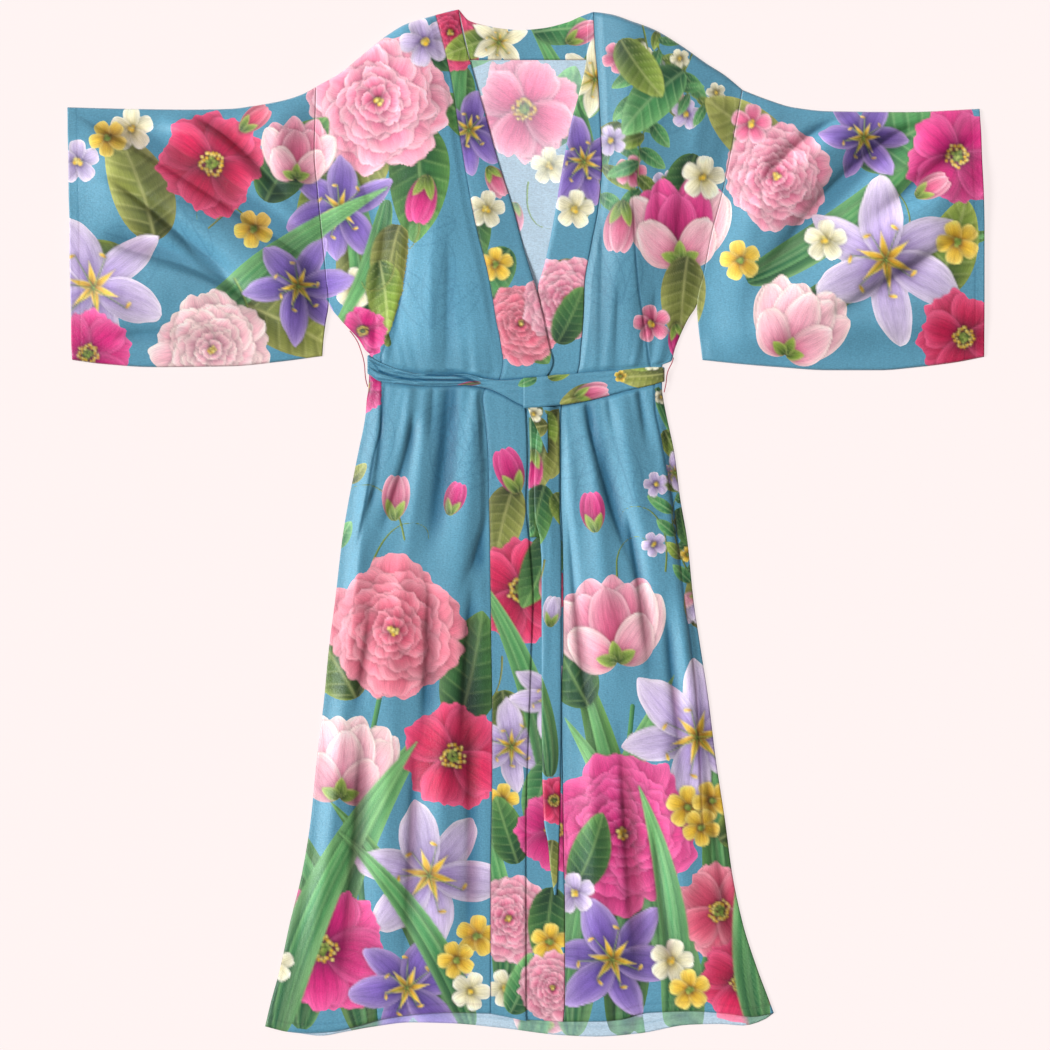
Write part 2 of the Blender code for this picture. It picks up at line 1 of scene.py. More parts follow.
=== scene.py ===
"""The looks of a kimono robe laid flat: printed satin, its wrong side, the belt and the thread loops.

Tables and lengths are in millimetres as worn flat: x runs across from the centre line and y runs up
from the hem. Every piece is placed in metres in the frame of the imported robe.
"""

import math

import bpy
import numpy as np
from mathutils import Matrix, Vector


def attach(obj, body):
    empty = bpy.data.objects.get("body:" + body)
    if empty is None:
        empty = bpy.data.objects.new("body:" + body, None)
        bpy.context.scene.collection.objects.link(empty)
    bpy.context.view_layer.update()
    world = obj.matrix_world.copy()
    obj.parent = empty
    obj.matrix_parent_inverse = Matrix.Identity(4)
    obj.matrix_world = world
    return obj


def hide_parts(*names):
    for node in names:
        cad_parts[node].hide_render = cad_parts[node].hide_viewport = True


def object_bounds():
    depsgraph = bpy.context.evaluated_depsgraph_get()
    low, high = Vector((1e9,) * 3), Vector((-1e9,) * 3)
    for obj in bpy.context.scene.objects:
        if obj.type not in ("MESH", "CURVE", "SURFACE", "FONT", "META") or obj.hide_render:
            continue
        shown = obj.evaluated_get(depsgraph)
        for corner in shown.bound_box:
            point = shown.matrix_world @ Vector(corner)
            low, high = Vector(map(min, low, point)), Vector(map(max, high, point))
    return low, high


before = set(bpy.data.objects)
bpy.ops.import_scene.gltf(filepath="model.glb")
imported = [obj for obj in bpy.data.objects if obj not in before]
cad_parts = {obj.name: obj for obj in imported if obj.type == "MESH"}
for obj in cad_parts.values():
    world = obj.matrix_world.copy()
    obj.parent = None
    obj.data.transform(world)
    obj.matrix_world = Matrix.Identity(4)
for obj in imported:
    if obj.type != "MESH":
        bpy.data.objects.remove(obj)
CAD_LOW, CAD_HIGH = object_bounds()

bl_info = {
    "name": "Kimono robe laid flat",
    "version": (1, 0, 0),
    "blender": (4, 5, 0),
    "location": "View3D > Sidebar > Robe",
    "description": "Builds the printed satin, belt and loops of a robe over its packed solids",
    "category": "Object",
}

MM = 0.001
NECK_TOP_Y = 1304
MIDDLE_Y = NECK_TOP_Y - CAD_HIGH.y / MM    # the frame's origin, measured up from the hem

# Levels and walls of the solids.
CLOTH = 1.4                    # top of a front above its underside
BAND = 2.0                     # top of a band above its underside
FRONT_LEVEL = 1.8              # underside of the fronts and bands
BAND_LIFT = 2.8                # how much higher the upper band and its front lie where the bands cross
ARMHOLE_LIFT = 0.6             # how much higher the fronts lie beside the sleeves than below them
SEAM_GAP = 0.3

# Walls and borders of the shells.
BACK_TOP = 1.2
SHELL = 0.9
SEAM_LIP = 0.5                 # the band laps over the front by this much
SEAM_LINE = 1.3                # half width of the dark line along a seam
PLEAT_LINE = 1.6               # and of the line along a pleat, a dip painted darker as shade
HEM_DEPTH = 12                 # stitch line's distance from the hem
PLEAT_FADE = 110               # length over which a pleat or a crease fades at its ends
CREASE_FADE = 6
BORDER_ROUND = 8.0             # radius with which a panel turns down at its border
CUFF_ROUND = 4.0
SLEEVE_MIDDLE = 1.1            # height at which a sleeve's two layers meet
OUTLINE_FADE = 200             # a curved top or hem bends the rows of cloth this far in

# Where a soft step starts and ends. Columns: y at 0, y at 1.
ARMHOLE_START = (905, 965)     # the fronts' rise beside the sleeves
SIDE_TUCK = (915, 890)         # the fronts' side seams turn down to the back
BAND_CROSSING = (955, 1015)    # the upper band comes down to the back beyond the crossing
SKIRT_FILLS = (40, 460)        # the skirt's puff grows from the hem up
SLEEVE_DROOP = (900, 880)      # a sleeve sinks at its inner lower corner
NECK_FROM = (900, 960)         # the back lies unevenly where it shows in the neck: above here,
NECK_TO = (1235, 1210)         # below here
NECK_ACROSS = (60, 20)         # and this near to the centre line, in x

# Rough widths of the panels, from which the number of points across them comes, and the rows of
# the back. Between the two heights of BACK_HIDDEN the fronts cover it, so only every third row stays.
FRONT_ACROSS = 280
SLEEVE_ACROSS = 335
BACK_STEP = 2.2
BACK_HIDDEN = (45, 930)

# The belt's course and the cloth over and beside it.
BELT_MID_Y = 846.5
BELT_SLOPE = -0.0333
BACK_BUMP = (18, 32, 2.3)      # flat half width, end, height of the back over the belt
FRONT_BUMP = (24, 70, 2.6)
BELT_FRONT_Z = 6               # the belt's front stretch is higher than this
BELT_SEEN_Z = 8.3              # where its outer face is higher than this, it is drawn finely
BELT_STEP = 2.0
BELT_HIDDEN_STEP = 5.0
BELT_PUFF = 2.6                # rise of the cloth beside the belt, and further out
SKIRT_PUFF = 6.5
BODICE_PUFF = 6.4
HEM_PUFF = 2.0
SLEEVE_PUFF = 7.0
THREAD_RADIUS = 0.6

# Folds, and the light and shade painted on them.
FOLD_GAIN = 1.3                # the heights in the fold tables times this
BODICE_FOLDS = 0.5             # and times this on the bodice
SLEEVE_FOLDS = 3.8             # and times this on the sleeves
CREST_LIMIT = 8.0              # no crest rises further than this over the cloth's own rise
TROUGH_REST = 1.5              # from here down a trough flattens out instead of sinking in
PAINTED_LIGHT_SLOPE = 5               # how soon a slope gets its full painted light or shade
PAINTED_LIGHT_GAIN = 0.22             # how much lighter the cloth is painted in full painted light, and darker in full painted shade
FRONT_PAINTED_LIGHT = 0.6             # the fronts' share of that
LEFT_PAINTED_LIGHT = 0.8                # painted light on the left bodice, as if it faced the light, and painted shade on the right one, as if it turned from it
RIGHT_PAINTED_LIGHT = -0.5
PAINTED_LEAN_FADE = 60                 # above the belt this sets in over this length

# Colours of the satin that aren't among the panel's settings.
HIGHLIGHT = (0.78, 0.95, 1.0)
DRAWN_LINE = (0.04, 0.16, 0.26)        # motifs that are drawn in line only
SEAM_AND_SHADE_ON_GROUND = (0.12, 0.36, 0.48)    # what a seam's line, or painted shade, multiplies the colour by
SEAM_AND_SHADE_ON_PRINT = (0.40, 0.24, 0.30)

# Grain of the cloth and the thread: bumps per metre along x, y and z.
FRAY = (500, 500, 500)
SLUB = (900, 90, 90)
CLOUD = (26, 14, 20)
CREPE = (330, 720, 500)
PLY = (1500, 700, 1500)

# Grain of the painted strokes: bumps per millimetre across and along a petal.
STREAK = (0.85, 0.06, 1)
WASH = (0.22, 0.05, 1)

# One full turn in radians, to the digits with which the print is drawn.
FULL_TURN = 6.28318

# Smooth noise repeats after this many bumps, and its first bump starts here.
LATTICE = 96
LATTICE_START = (500.37, 500.71)

# The stage, in metres apart from what the camera sees.
FRAME_WIDTH = 1333.5           # what the camera sees across
FRAME_MIDDLE = (-1.0, -2.5)
SENSOR = 36                    # the camera's sensor and lens, in the millimetres of a real camera
FLOOR_SIZE = 12
FLOOR_DROP = 0.0004
FLOOR_GLOW = 0.85
SKY = (1.0, 0.97, 0.96)
SKY_STRENGTH = 0.135
# Columns: name, point from which the rays come, spread in degrees, strength.
LIGHTS = [
    ("key", (-2.9, 0.2, 2.35), 26, 3.84),
    ("top", (0.2, 2.4, 3.0), 40, 0.62),
]


# Sections of the front on the viewer's left, from shoulder to hem. Columns: x and y at the side
# seam, x and y at the band seam, x and y at the band's free edge.
LEFT_SECTIONS = [
    (-266, 1206, -114, 1297, -85, 1304),
    (-267, 1164, -103, 1255, -81, 1278),
    (-268, 1122, -94, 1215, -71, 1240),
    (-264, 1075, -83, 1142, -53, 1177),
    (-259, 1024, -71, 1071, -35, 1112),
    (-255, 984, -61, 1022, -16, 1052),
    (-250, 932, -49, 976, -1, 996),
    (-235, 910, -40, 929, 14, 947),
    (-221, 895, -37, 909, 21, 921),
    (-212, 885, -33, 891, 26, 897),
    (-203, 871, -30, 872, 31, 874),
    (-198, 866, -28, 859, 35, 857),
    (-199, 835, -33, 834, 24, 834),
    (-200, 821, -52, 820, 3, 820),
    (-202, 808, -54, 808, -1, 807),
    (-203, 793, -52, 793, 0, 793),
    (-214, 735, -47, 736, 2, 736),
    (-226, 674, -46, 675, 0, 675),
    (-233, 631, -45, 631, 4, 631),
    (-242, 554, -44, 554, 9, 554),
    (-250, 492, -43, 492, 7, 492),
    (-256, 429, -42, 429, 5, 429),
    (-266, 345, -42, 345, 2, 345),
    (-273, 275, -43, 275, 0, 275),
    (-284, 208, -44, 208, 0, 208),
    (-300, 142, -44, 142, 0, 142),
    (-312, 86, -44, 90, 0, 88),
    (-323, 46, -44, 56, 0, 50),
    (-331, 13, -44, 29, 1, 20),
]

# Sections of the front on the viewer's right, whose band passes under the other one. Same columns.
RIGHT_SECTIONS = [
    (275, 1202, 85, 1301, 78, 1285),
    (268, 1164, 87, 1259, 77, 1244),
    (261, 1126, 91, 1215, 69, 1203),
    (250, 1073, 94, 1158, 57, 1158),
    (236, 1020, 96, 1107, 46, 1100),
    (228, 980, 91, 1052, 35, 1034),
    (217, 929, 81, 998, 24, 981),
    (206, 911, 74, 956, 15, 947),
    (196, 890, 73, 920, 14, 920),
    (189, 872, 71, 892, 14, 892),
    (185, 858, 69, 872, 14, 872),
    (173, 852, 68, 857, 14, 857),
    (173, 822, 62, 834, 8, 834),
    (175, 808, 49, 816, -2, 816),
    (177, 797, 45, 803, -6, 803),
    (179, 787, 44, 790, -7, 790),
    (189, 739, 44, 736, -7, 736),
    (196, 684, 44, 681, -7, 681),
    (205, 631, 46, 631, -5, 631),
    (213, 554, 47, 554, -4, 554),
    (222, 493, 47, 492, -4, 492),
    (231, 435, 44, 432, -6, 432),
    (242, 347, 46, 345, -6, 345),
    (253, 275, 47, 275, -6, 275),
    (262, 208, 48, 208, -6, 208),
    (276, 142, 49, 142, -6, 142),
    (294, 86, 49, 86, -6, 86),
    (306, 54, 49, 50, -6, 50),
    (315, 30, 47, 19, -6, 22),
]

# Outlines of the panels' tops and hems. Columns: x, y.
SHOULDER_LEFT = [(-266, 1206), (-236, 1223), (-209, 1245), (-175, 1272), (-151, 1286), (-114, 1297)]
SHOULDER_RIGHT = [
    (275, 1202), (252, 1221), (230, 1235), (196, 1259), (162, 1279), (135, 1289), (108, 1298), (85, 1301),
]
HEM_LEFT = [
    (-331, 13), (-302, 6), (-278, 4), (-245, 6), (-213, 13), (-180, 22), (-134, 28), (-96, 30), (-44, 29),
]
HEM_RIGHT = [(315, 30), (287, 25), (253, 29), (209, 32), (155, 30), (118, 21), (90, 19), (47, 19)]
HEM_BACK = [
    (-331, 13), (-297, 6), (-260, 1), (-230, 6), (-197, 12), (-147, 18), (-98, 17), (-31, 11), (43, 2),
    (90, 0), (144, 4), (207, 15), (247, 16), (276, 14), (300, 20), (315, 30),
]

# The neck band's upper edge, and its seam on the back. Columns: x, y.
NECK_TOP = [
    (-85, 1304), (-72, 1290), (-56, 1285), (-31, 1280), (-8, 1278), (19, 1280), (53, 1288), (69, 1295),
    (85, 1301),
]
NECK_SEAM_Y = 1240
NECK_SEAM_LEFT_X = -71
NECK_SEAM_RIGHT_X = 77

# Sleeve outlines. Columns: x and y at the cuff, x and y at the armhole seam or inner edge.
LEFT_SLEEVE_SECTIONS = [
    (-582, 1180, -266, 1206),
    (-581, 1146, -267, 1164),
    (-580, 1112, -268, 1122),
    (-580, 1074, -264, 1075),
    (-579, 1034, -259, 1024),
    (-579, 1000, -255, 984),
    (-578, 956, -250, 932),
    (-577, 914, -254, 905),
    (-577, 885, -257, 880),
    (-576, 859, -258, 864),
]
RIGHT_SLEEVE_SECTIONS = [
    (576, 1178, 275, 1202),
    (578, 1144, 268, 1164),
    (579, 1110, 261, 1126),
    (581, 1068, 250, 1073),
    (582, 1022, 236, 1020),
    (582, 986, 228, 980),
    (582, 946, 217, 929),
    (582, 914, 219, 900),
    (582, 888, 222, 876),
    (582, 863, 224, 859),
]
LEFT_SLEEVE_TOP = [
    (-582, 1180), (-506, 1178), (-425, 1177), (-376, 1178), (-344, 1182), (-311, 1188), (-285, 1196),
    (-266, 1206),
]
LEFT_SLEEVE_FOOT = [(-576, 859), (-538, 854), (-473, 850), (-376, 851), (-311, 857), (-258, 864)]
RIGHT_SLEEVE_TOP = [(576, 1178), (482, 1174), (385, 1175), (339, 1180), (306, 1190), (275, 1202)]
RIGHT_SLEEVE_FOOT = [
    (582, 863), (546, 856), (498, 850), (449, 846), (385, 846), (320, 850), (271, 854), (224, 859),
]

# Folds of each piece. Columns: x and y at the start, middle and end, height, width on either side
# (for a fold that runs down, the viewer's left and right). A ridge has a positive height and a
# trough a negative one; a narrow side makes a lapped edge.
LEFT_FOLDS = [
    (-142, 800, -155, 726, -194, 610, -3.9, 7, 20),
    (-186, 712, -204, 658, -219, 600, -2.2, 5, 12),
    (-97, 900, -103, 735, -134, 580, -3.4, 13, 26),
    (-26, 745, -48, 650, -86, 555, -4.6, 7, 22),
    (-178, 880, -183, 772, -200, 640, -1.4, 4, 10),
    (-152, 900, -153, 745, -182, 590, 2.2, 13, 14),
    (-127, 880, -138, 700, -168, 530, 1.8, 14, 14),
    (-66, 890, -71, 694, -98, 500, 3.0, 22, 24),
    (-44, 860, -52, 780, -56, 720, -1.6, 5, 10),
    (-116, 880, -119, 800, -124, 730, -1.5, 5, 9),
    (-201, 760, -212, 600, -232, 450, 2.6, 14, 18),
    (-150, 620, -166, 500, -178, 360, 2.8, 22, 26),
    (-122, 600, -125, 470, -132, 350, -2.6, 8, 22),
    (-66, 590, -76, 460, -82, 300, -2.4, 8, 20),
    (-196, 560, -206, 470, -222, 380, -2.0, 7, 16),
    (-236, 460, -255, 237, -290, 30, 3.2, 26, 32),
    (-205, 430, -218, 230, -238, 30, -2.8, 10, 26),
    (-166, 460, -179, 237, -194, 30, 2.4, 24, 26),
    (-139, 400, -147, 220, -156, 30, -2.2, 9, 22),
    (-104, 440, -108, 237, -119, 30, 2.8, 24, 26),
    (-70, 420, -71, 230, -75, 30, -2.2, 9, 18),
    (-262, 300, -284, 170, -306, 40, -2.0, 8, 18),
    (-147, 1060, -161, 925, -186, 800, -3.0, 5, 12),
    (-110, 1075, -128, 925, -150, 800, 2.8, 18, 22),
    (-176, 1050, -188, 960, -206, 860, -2.2, 6, 14),
    (-97, 1040, -99, 900, -100, 780, -3.6, 9, 24),
    (-120, 1000, -120, 910, -122, 800, 2.4, 10, 12),
    (-188, 930, -192, 890, -194, 820, -1.6, 4, 8),
    (-240, 1165, -205, 1080, -176, 970, -2.4, 8, 24),
    (-222, 1190, -182, 1110, -150, 1010, 2.2, 20, 22),
    (-160, 1245, -150, 1140, -142, 1040, 2.2, 22, 22),
]
RIGHT_FOLDS = [
    (72, 850, 97, 712, 154, 555, -3.8, 6, 18),
    (126, 680, 146, 560, 162, 420, -2.8, 7, 20),
    (184, 870, 202, 720, 224, 620, -2.4, 4, 12),
    (171, 860, 187, 690, 202, 540, -2.4, 4, 12),
    (112, 880, 140, 690, 182, 450, 3.0, 18, 20),
    (88, 820, 98, 605, 128, 390, 2.6, 18, 18),
    (56, 800, 64, 620, 84, 470, 1.8, 14, 14),
    (52, 700, 66, 520, 86, 360, -2.2, 6, 18),
    (138, 880, 146, 800, 158, 730, -1.6, 5, 9),
    (96, 880, 104, 810, 116, 750, -1.5, 5, 9),
    (200, 600, 212, 440, 234, 280, 2.6, 20, 20),
    (176, 580, 190, 420, 210, 260, -2.4, 8, 20),
    (170, 440, 196, 224, 236, 30, 3.2, 26, 30),
    (222, 400, 250, 210, 288, 30, -2.6, 9, 24),
    (118, 420, 132, 199, 146, 30, -2.6, 9, 24),
    (82, 420, 88, 199, 95, 30, 2.8, 20, 22),
    (160, 300, 174, 160, 194, 30, -2.0, 8, 18),
    (132, 1210, 132, 1075, 131, 960, 2.4, 18, 16),
    (169, 1110, 169, 1062, 168, 1010, -1.8, 6, 12),
    (97, 1070, 96, 940, 93, 790, -2.4, 7, 18),
    (138, 1020, 135, 920, 138, 790, 2.8, 20, 18),
    (166, 960, 161, 890, 158, 800, -2.0, 5, 12),
    (118, 960, 115, 890, 112, 800, -1.8, 5, 10),
    (150, 930, 149, 880, 150, 820, -1.5, 4, 8),
    (205, 1140, 196, 1040, 188, 930, -2.2, 8, 18),
    (228, 1195, 214, 1130, 200, 1040, 2.2, 18, 18),
]
LEFT_SLEEVE_FOLDS = [
    (-700, 1245, -421, 1091, -120, 880, -3.4, 11, 26),
    (-690, 1200, -440, 1050, -150, 850, 3.4, 48, 20),
    (-550, 1100, -450, 1030, -300, 880, -2.6, 10, 28),
    (-585, 930, -430, 950, -290, 905, 3.0, 28, 26),
    (-560, 1010, -420, 975, -290, 885, -2.6, 12, 34),
    (-540, 890, -420, 882, -290, 872, -2.2, 10, 16),
    (-440, 1180, -365, 1130, -280, 1040, -2.6, 9, 24),
    (-470, 1170, -400, 1140, -300, 1070, 2.4, 18, 20),
]
RIGHT_SLEEVE_FOLDS = [
    (540, 1172, 412, 1094, 270, 920, -2.4, 12, 26),
    (690, 1160, 463, 1004, 200, 800, 3.0, 30, 44),
    (560, 895, 420, 905, 285, 885, 2.4, 24, 26),
    (575, 1030, 440, 945, 300, 862, -1.8, 12, 28),
    (500, 1178, 380, 1130, 275, 1025, 2.4, 20, 24),
    (420, 1176, 345, 1130, 275, 1050, -1.8, 10, 22),
    (585, 1150, 500, 1085, 420, 1020, -1.6, 12, 26),
]

# Lines where a front is pleated or sewn and its print breaks off. Columns: x, y.
LEFT_PLEAT = [
    (-148, 1050), (-150, 992), (-155, 954), (-163, 921), (-174, 887), (-183, 862), (-183, 775),
    (-192, 738), (-197, 709), (-206, 660), (-219, 595),
]
RIGHT_PLEAT = [
    (134, 1120), (136, 1056), (142, 958), (152, 893), (156, 860), (163, 830), (164, 800), (171, 762),
    (176, 736), (182, 701), (189, 661), (199, 574), (216, 437), (225, 261), (230, 200),
]

# Deep creases between the belt's strands, which dip it and are painted darker as shade. Columns: x, y.
BELT_CREASES = [
    [
        (-197, 858.5), (-191, 852), (-184, 844.5), (-174, 840), (-161, 837), (-146, 835), (-129, 834),
        (-98, 833), (-69, 832), (-58, 829.5),
    ],
    [(-129, 840.6), (-114, 840.2), (-103, 839.4), (-95, 840), (-84, 837.8), (-73, 835), (-63, 831.5)],
]

# The belt from the knot round the left side, under the back and round the right side to the knot.
# Columns: x and z of the inner face, x and z of the outer face, y of the top and bottom edges.
BELT_SECTIONS = [
    (-1.8, 9.7, -1.8, 11.7, 835, 800),
    (-14, 10.2, -14, 12.2, 834, 806),
    (-30, 10.6, -30, 12.6, 833, 815),
    (-50, 10.4, -50, 12.4, 835, 823),
    (-78, 9.6, -78, 11.6, 841, 827),
    (-104, 8.6, -104, 10.6, 841, 826),
    (-130, 8.0, -130, 10.0, 841, 826),
    (-164, 7.0, -164, 9.0, 848, 829),
    (-186, 6.4, -186, 8.4, 857, 832),
    (-199.3, 6.4, -200.3, 8.0, 865, 841),
    (-199.7, 4.2, -201.6, 4.2, 865, 841),
    (-199.3, 2.0, -200.3, 0.4, 865, 841),
    (-186, 2.0, -186, 0.0, 867, 839),
    (-100, 2.0, -100, 0.0, 864, 836),
    (0, 2.0, 0, 0.0, 861, 832),
    (100, 2.0, 100, 0.0, 857, 829),
    (162, 2.0, 162, 0.0, 854, 828),
    (173.9, 2.0, 174.6, 0.4, 850, 831),
    (174.6, 4.2, 176.4, 4.2, 850, 831),
    (173.5, 6.3, 174.6, 7.9, 850, 831),
    (160, 6.4, 160, 8.4, 850, 827),
    (129, 6.6, 129, 8.6, 847, 820),
    (103, 6.8, 103, 8.8, 845, 813),
    (78, 7.2, 78, 9.2, 843, 807),
    (55, 8.6, 55, 10.6, 841, 803),
    (38, 10.8, 38, 12.6, 840, 801),
    (22.0, 12.9, 22.0, 14.6, 838, 799),
]

# The belt's two ends. Columns: y, x of the left edge, x of the right edge, z of the underside.
SHORT_TAIL = [
    (799, 3.5, 21, 9.0),
    (776, 4, 22, 6.2),
    (750, 5, 22, 5.6),
    (728, 5, 18, 5.4),
    (704, 3.5, 15, 5.4),
    (676, 3.5, 15, 5.4),
    (652, 4, 16, 5.4),
    (634, 5, 17, 5.4),
]
LONG_TAIL = [
    (799, 19, 43, 10.9),
    (776, 15, 43, 8.2),
    (750, 12, 43, 7.6),
    (700, 10, 43, 7.3),
    (662, 11, 43, 7.2),
    (630, 18, 45, 7.0),
    (600, 20, 45, 5.6),
    (554, 20, 45, 4.8),
    (478, 20, 45, 4.4),
    (402, 20, 45, 4.4),
    (330, 21, 44, 4.4),
    (275, 23, 43, 4.4),
    (246, 28, 42, 4.4),
    (215, 31, 41, 4.4),
    (180, 36, 39, 4.4),
]

# The belt's wide stretch where it goes on over the knot. Columns as in the belt's sections.
BELT_OVER_KNOT = [
    (10, 12.9, 10, 14.6, 837, 798),
    (-3, 12.9, -3, 14.4, 836, 797),
]

# The turned corner of the belt over the ends. Columns as in the ends.
TURNED_CORNER = [
    (803, 1, 27, 12.5),
    (797, 3.0, 27, 12.4),
    (789, 5.6, 27.4, 11.9),
    (774, 12.8, 27.8, 11.2),
    (757, 20.5, 28, 10.5),
    (741, 27, 28.2, 10.1),
]
CORNER_SHIFT = (150, 66)       # from where on the belt's print the turned corner takes its own

# The folded end under the knot, as two opposite corners of a flat block. Columns: x, y, z.
KNOT_PAD = ((-1.8, 799, 9.9), (21, 835, 12.6))

# Thread loops on the side seams that hold the belt. Columns: x, y, z.
LEFT_LOOP = [
    (-223.4, 896, 3), (-214.8, 886, 4), (-208.4, 869, 4.5), (-204.5, 854, 4.5),
    (-204, 840, 4.5), (-202.5, 831, 4), (-200.6, 825, 3),
]
RIGHT_LOOP = [
    (187.4, 862, 3), (186.6, 857, 4), (181, 847, 4.5), (178.8, 839, 4.5),
    (178.3, 831, 4.5), (177.2, 825, 4), (175.6, 818, 3),
]


def smooth(value):
    """A soft step from 0 to 1."""
    share = np.clip(value, 0.0, 1.0)
    return share * share * (3.0 - 2.0 * share)


def ramp(value, start, end):
    """A soft step from 0 where the value is start to 1 where it is end."""
    return smooth((value - start) / (end - start))


def within(value, start, end, fade):
    """1 between two values, easing to 0 over the stretch next to each."""
    return smooth((value - start) / fade) * smooth((end - value) / fade)


def between_ends(share, first, last):
    """1 on the middle of a stretch, easing to 0 over its first and last parts."""
    return smooth(share / first) * smooth((1 - share) / last)


def bell(value, width):
    """1 where the value is 0, falling off alike on both sides."""
    return np.exp(-((value / width) ** 2))


def rounding(share, sharpness=1.0):
    """A rounded start: 0 at share 0 and 1 from 1 / sharpness on."""
    return np.sqrt(np.clip(share * sharpness, 0, 1))


def crowned(share, sharpness):
    """A rounded section: 0 at both edges and 1 between them."""
    return rounding(share, sharpness) * rounding(1 - share, sharpness)


def eased(stops, values, at):
    """A smooth curve through table values that never overshoots them."""
    stops, values = np.asarray(stops, float), np.asarray(values, float)
    width = np.diff(stops)
    slope = np.diff(values) / width
    tangent = np.zeros_like(values)
    tangent[0], tangent[-1] = slope[0], slope[-1]
    before, after = slope[:-1], slope[1:]
    both = before * after > 0
    tangent[1:-1][both] = 2 * before[both] * after[both] / (before[both] + after[both])
    index = np.clip(np.searchsorted(stops, at, side="right") - 1, 0, len(width) - 1)
    span = width[index]
    part = np.clip((at - stops[index]) / span, 0.0, 1.0)
    return (
        (1 + 2 * part) * (1 - part) ** 2 * values[index]
        + part * (1 - part) ** 2 * span * tangent[index]
        + part * part * (3 - 2 * part) * values[index + 1]
        + part * part * (part - 1) * span * tangent[index + 1]
    )


def curve_y(curve, x):
    """The height of an outline at x, whichever way its table runs."""
    table = np.array(sorted(curve), float)
    return eased(table[:, 0], table[:, 1], x)


def fine_rows(sections, columns, step):
    """The chosen columns of a section table, drawn again with a row every step."""
    table = np.array(sections, float)[:, columns]
    near = np.hypot(np.diff(table[:, 0]), np.diff(table[:, 1]))
    far = np.hypot(np.diff(table[:, 2]), np.diff(table[:, 3]))
    stops = np.concatenate([[0.0], np.cumsum((near + far) / 2)])
    at = np.linspace(0, stops[-1], int(stops[-1] / step) + 1)
    return np.column_stack([eased(stops, column, at) for column in table.T]), at


def plan_grid(near, far, shares, down, top=None, foot=None):
    """Plan points of a panel between two side curves, with its top and foot rows bent to their outlines."""
    share = np.asarray(shares)[None, :, None]
    grid = near[:, None, :] * (1 - share) + far[:, None, :] * share
    for curve, row, travel in ((top, 0, down), (foot, -1, down[-1] - down)):
        if curve is None:
            continue
        bend = curve_y(curve, grid[row, :, 0]) - grid[row, :, 1]
        fade = np.clip(1 - travel / OUTLINE_FADE, 0.0, 1.0) ** 2
        grid[:, :, 1] += fade[:, None] * bend[None, :]
    return grid


def belt_distance(x, y):
    """How far a point lies from the belt's middle line."""
    return np.abs(y - (BELT_MID_Y + BELT_SLOPE * x))


def bump(distance, shape):
    """A soft rise over the belt, from its flat half width, its end and its height."""
    half, end, height = shape
    return height * np.clip((end - distance) / (end - half), 0.0, 1.0)


def beyond_belt(x, y):
    """Signed distance outside the belt's front stretch: positive above it, negative below."""
    front = FRONT_LEVEL + CLOTH + FRONT_BUMP[2]
    rows = np.array(sorted(row for row in BELT_SECTIONS if row[1] > front))
    top = np.interp(x, rows[:, 0], rows[:, 4])
    foot = np.interp(x, rows[:, 0], rows[:, 5])
    return np.maximum(y - top, 0.0) - np.maximum(foot - y, 0.0)


def belt_shade(x, y):
    """Painted shadow: the dark line right under the belt, carried with the seam lines; it is deepest under
    the knot's slanted edge.
    """
    depth = 0.45 + 0.45 * ramp(x, -130, -100) * ramp(x, 20, 5)
    return np.where(y < BELT_MID_Y, depth * bell(beyond_belt(x, y), 2.6), 0.0)


def drift(x, y, wide, tall, seed):
    """Smooth noise from -1 to 1 whose bumps are about wide by tall."""
    lattice = np.random.default_rng(seed).uniform(-1, 1, (LATTICE + 1, LATTICE + 1))
    across, along = x / wide + LATTICE_START[0], y / tall + LATTICE_START[1]
    column, row = np.floor(across).astype(int), np.floor(along).astype(int)
    right, up = smooth(across - column), smooth(along - row)
    column, row = column % LATTICE, row % LATTICE
    low = lattice[column, row] * (1 - right) + lattice[column + 1, row] * right
    high = lattice[column, row + 1] * (1 - right) + lattice[column + 1, row + 1] * right
    return low * (1 - up) + high * up


def inside_box(x, y, low, high):
    return (x > low[0]) & (x < high[0]) & (y > low[1]) & (y < high[1])


def nearest(line, x, y):
    """Where points lie by a line: their distance, how far along it from 0 to 1, and how far to its left."""
    distance = np.full(x.shape, 1e9)
    along = np.zeros(x.shape)
    left = np.zeros(x.shape)
    for k, (start, end) in enumerate(zip(line[:-1], line[1:])):
        run = end - start
        size = max(float(run @ run), 1e-6)
        part = np.clip(((x - start[0]) * run[0] + (y - start[1]) * run[1]) / size, 0, 1)
        off_x, off_y = x - start[0] - part * run[0], y - start[1] - part * run[1]
        gap = np.hypot(off_x, off_y)
        closer = gap < distance
        distance = np.where(closer, gap, distance)
        along = np.where(closer, (k + part) / (len(line) - 1), along)
        left = np.where(closer, (off_y * run[0] - off_x * run[1]) / math.sqrt(size), left)
    return distance, along, left


def fold_relief(folds, x, y):
    """The sum of a piece's ridges and troughs, each along its own curve."""
    total = np.zeros_like(x)
    steps = np.linspace(0, 1, 33)[:, None]
    for *places, height, left_width, right_width in folds:
        points = np.reshape(places, (3, 2))
        start, middle, end = points
        bend = 2 * middle - (start + end) / 2
        line = (1 - steps) ** 2 * start + 2 * steps * (1 - steps) * bend + steps**2 * end
        reach = 3 * max(left_width, right_width)
        near = inside_box(x, y, points.min(axis=0) - reach, points.max(axis=0) + reach)
        distance, along, left = nearest(line, x[near], y[near])
        width = np.where(left < 0, left_width, right_width) * (0.7 + 0.6 * along)
        section = 0.7 * bell(distance, width) + 0.3 * bell(distance, 0.5 * width)
        total[near] += height * between_ends(along, 0.3, 0.45) * section
    return total


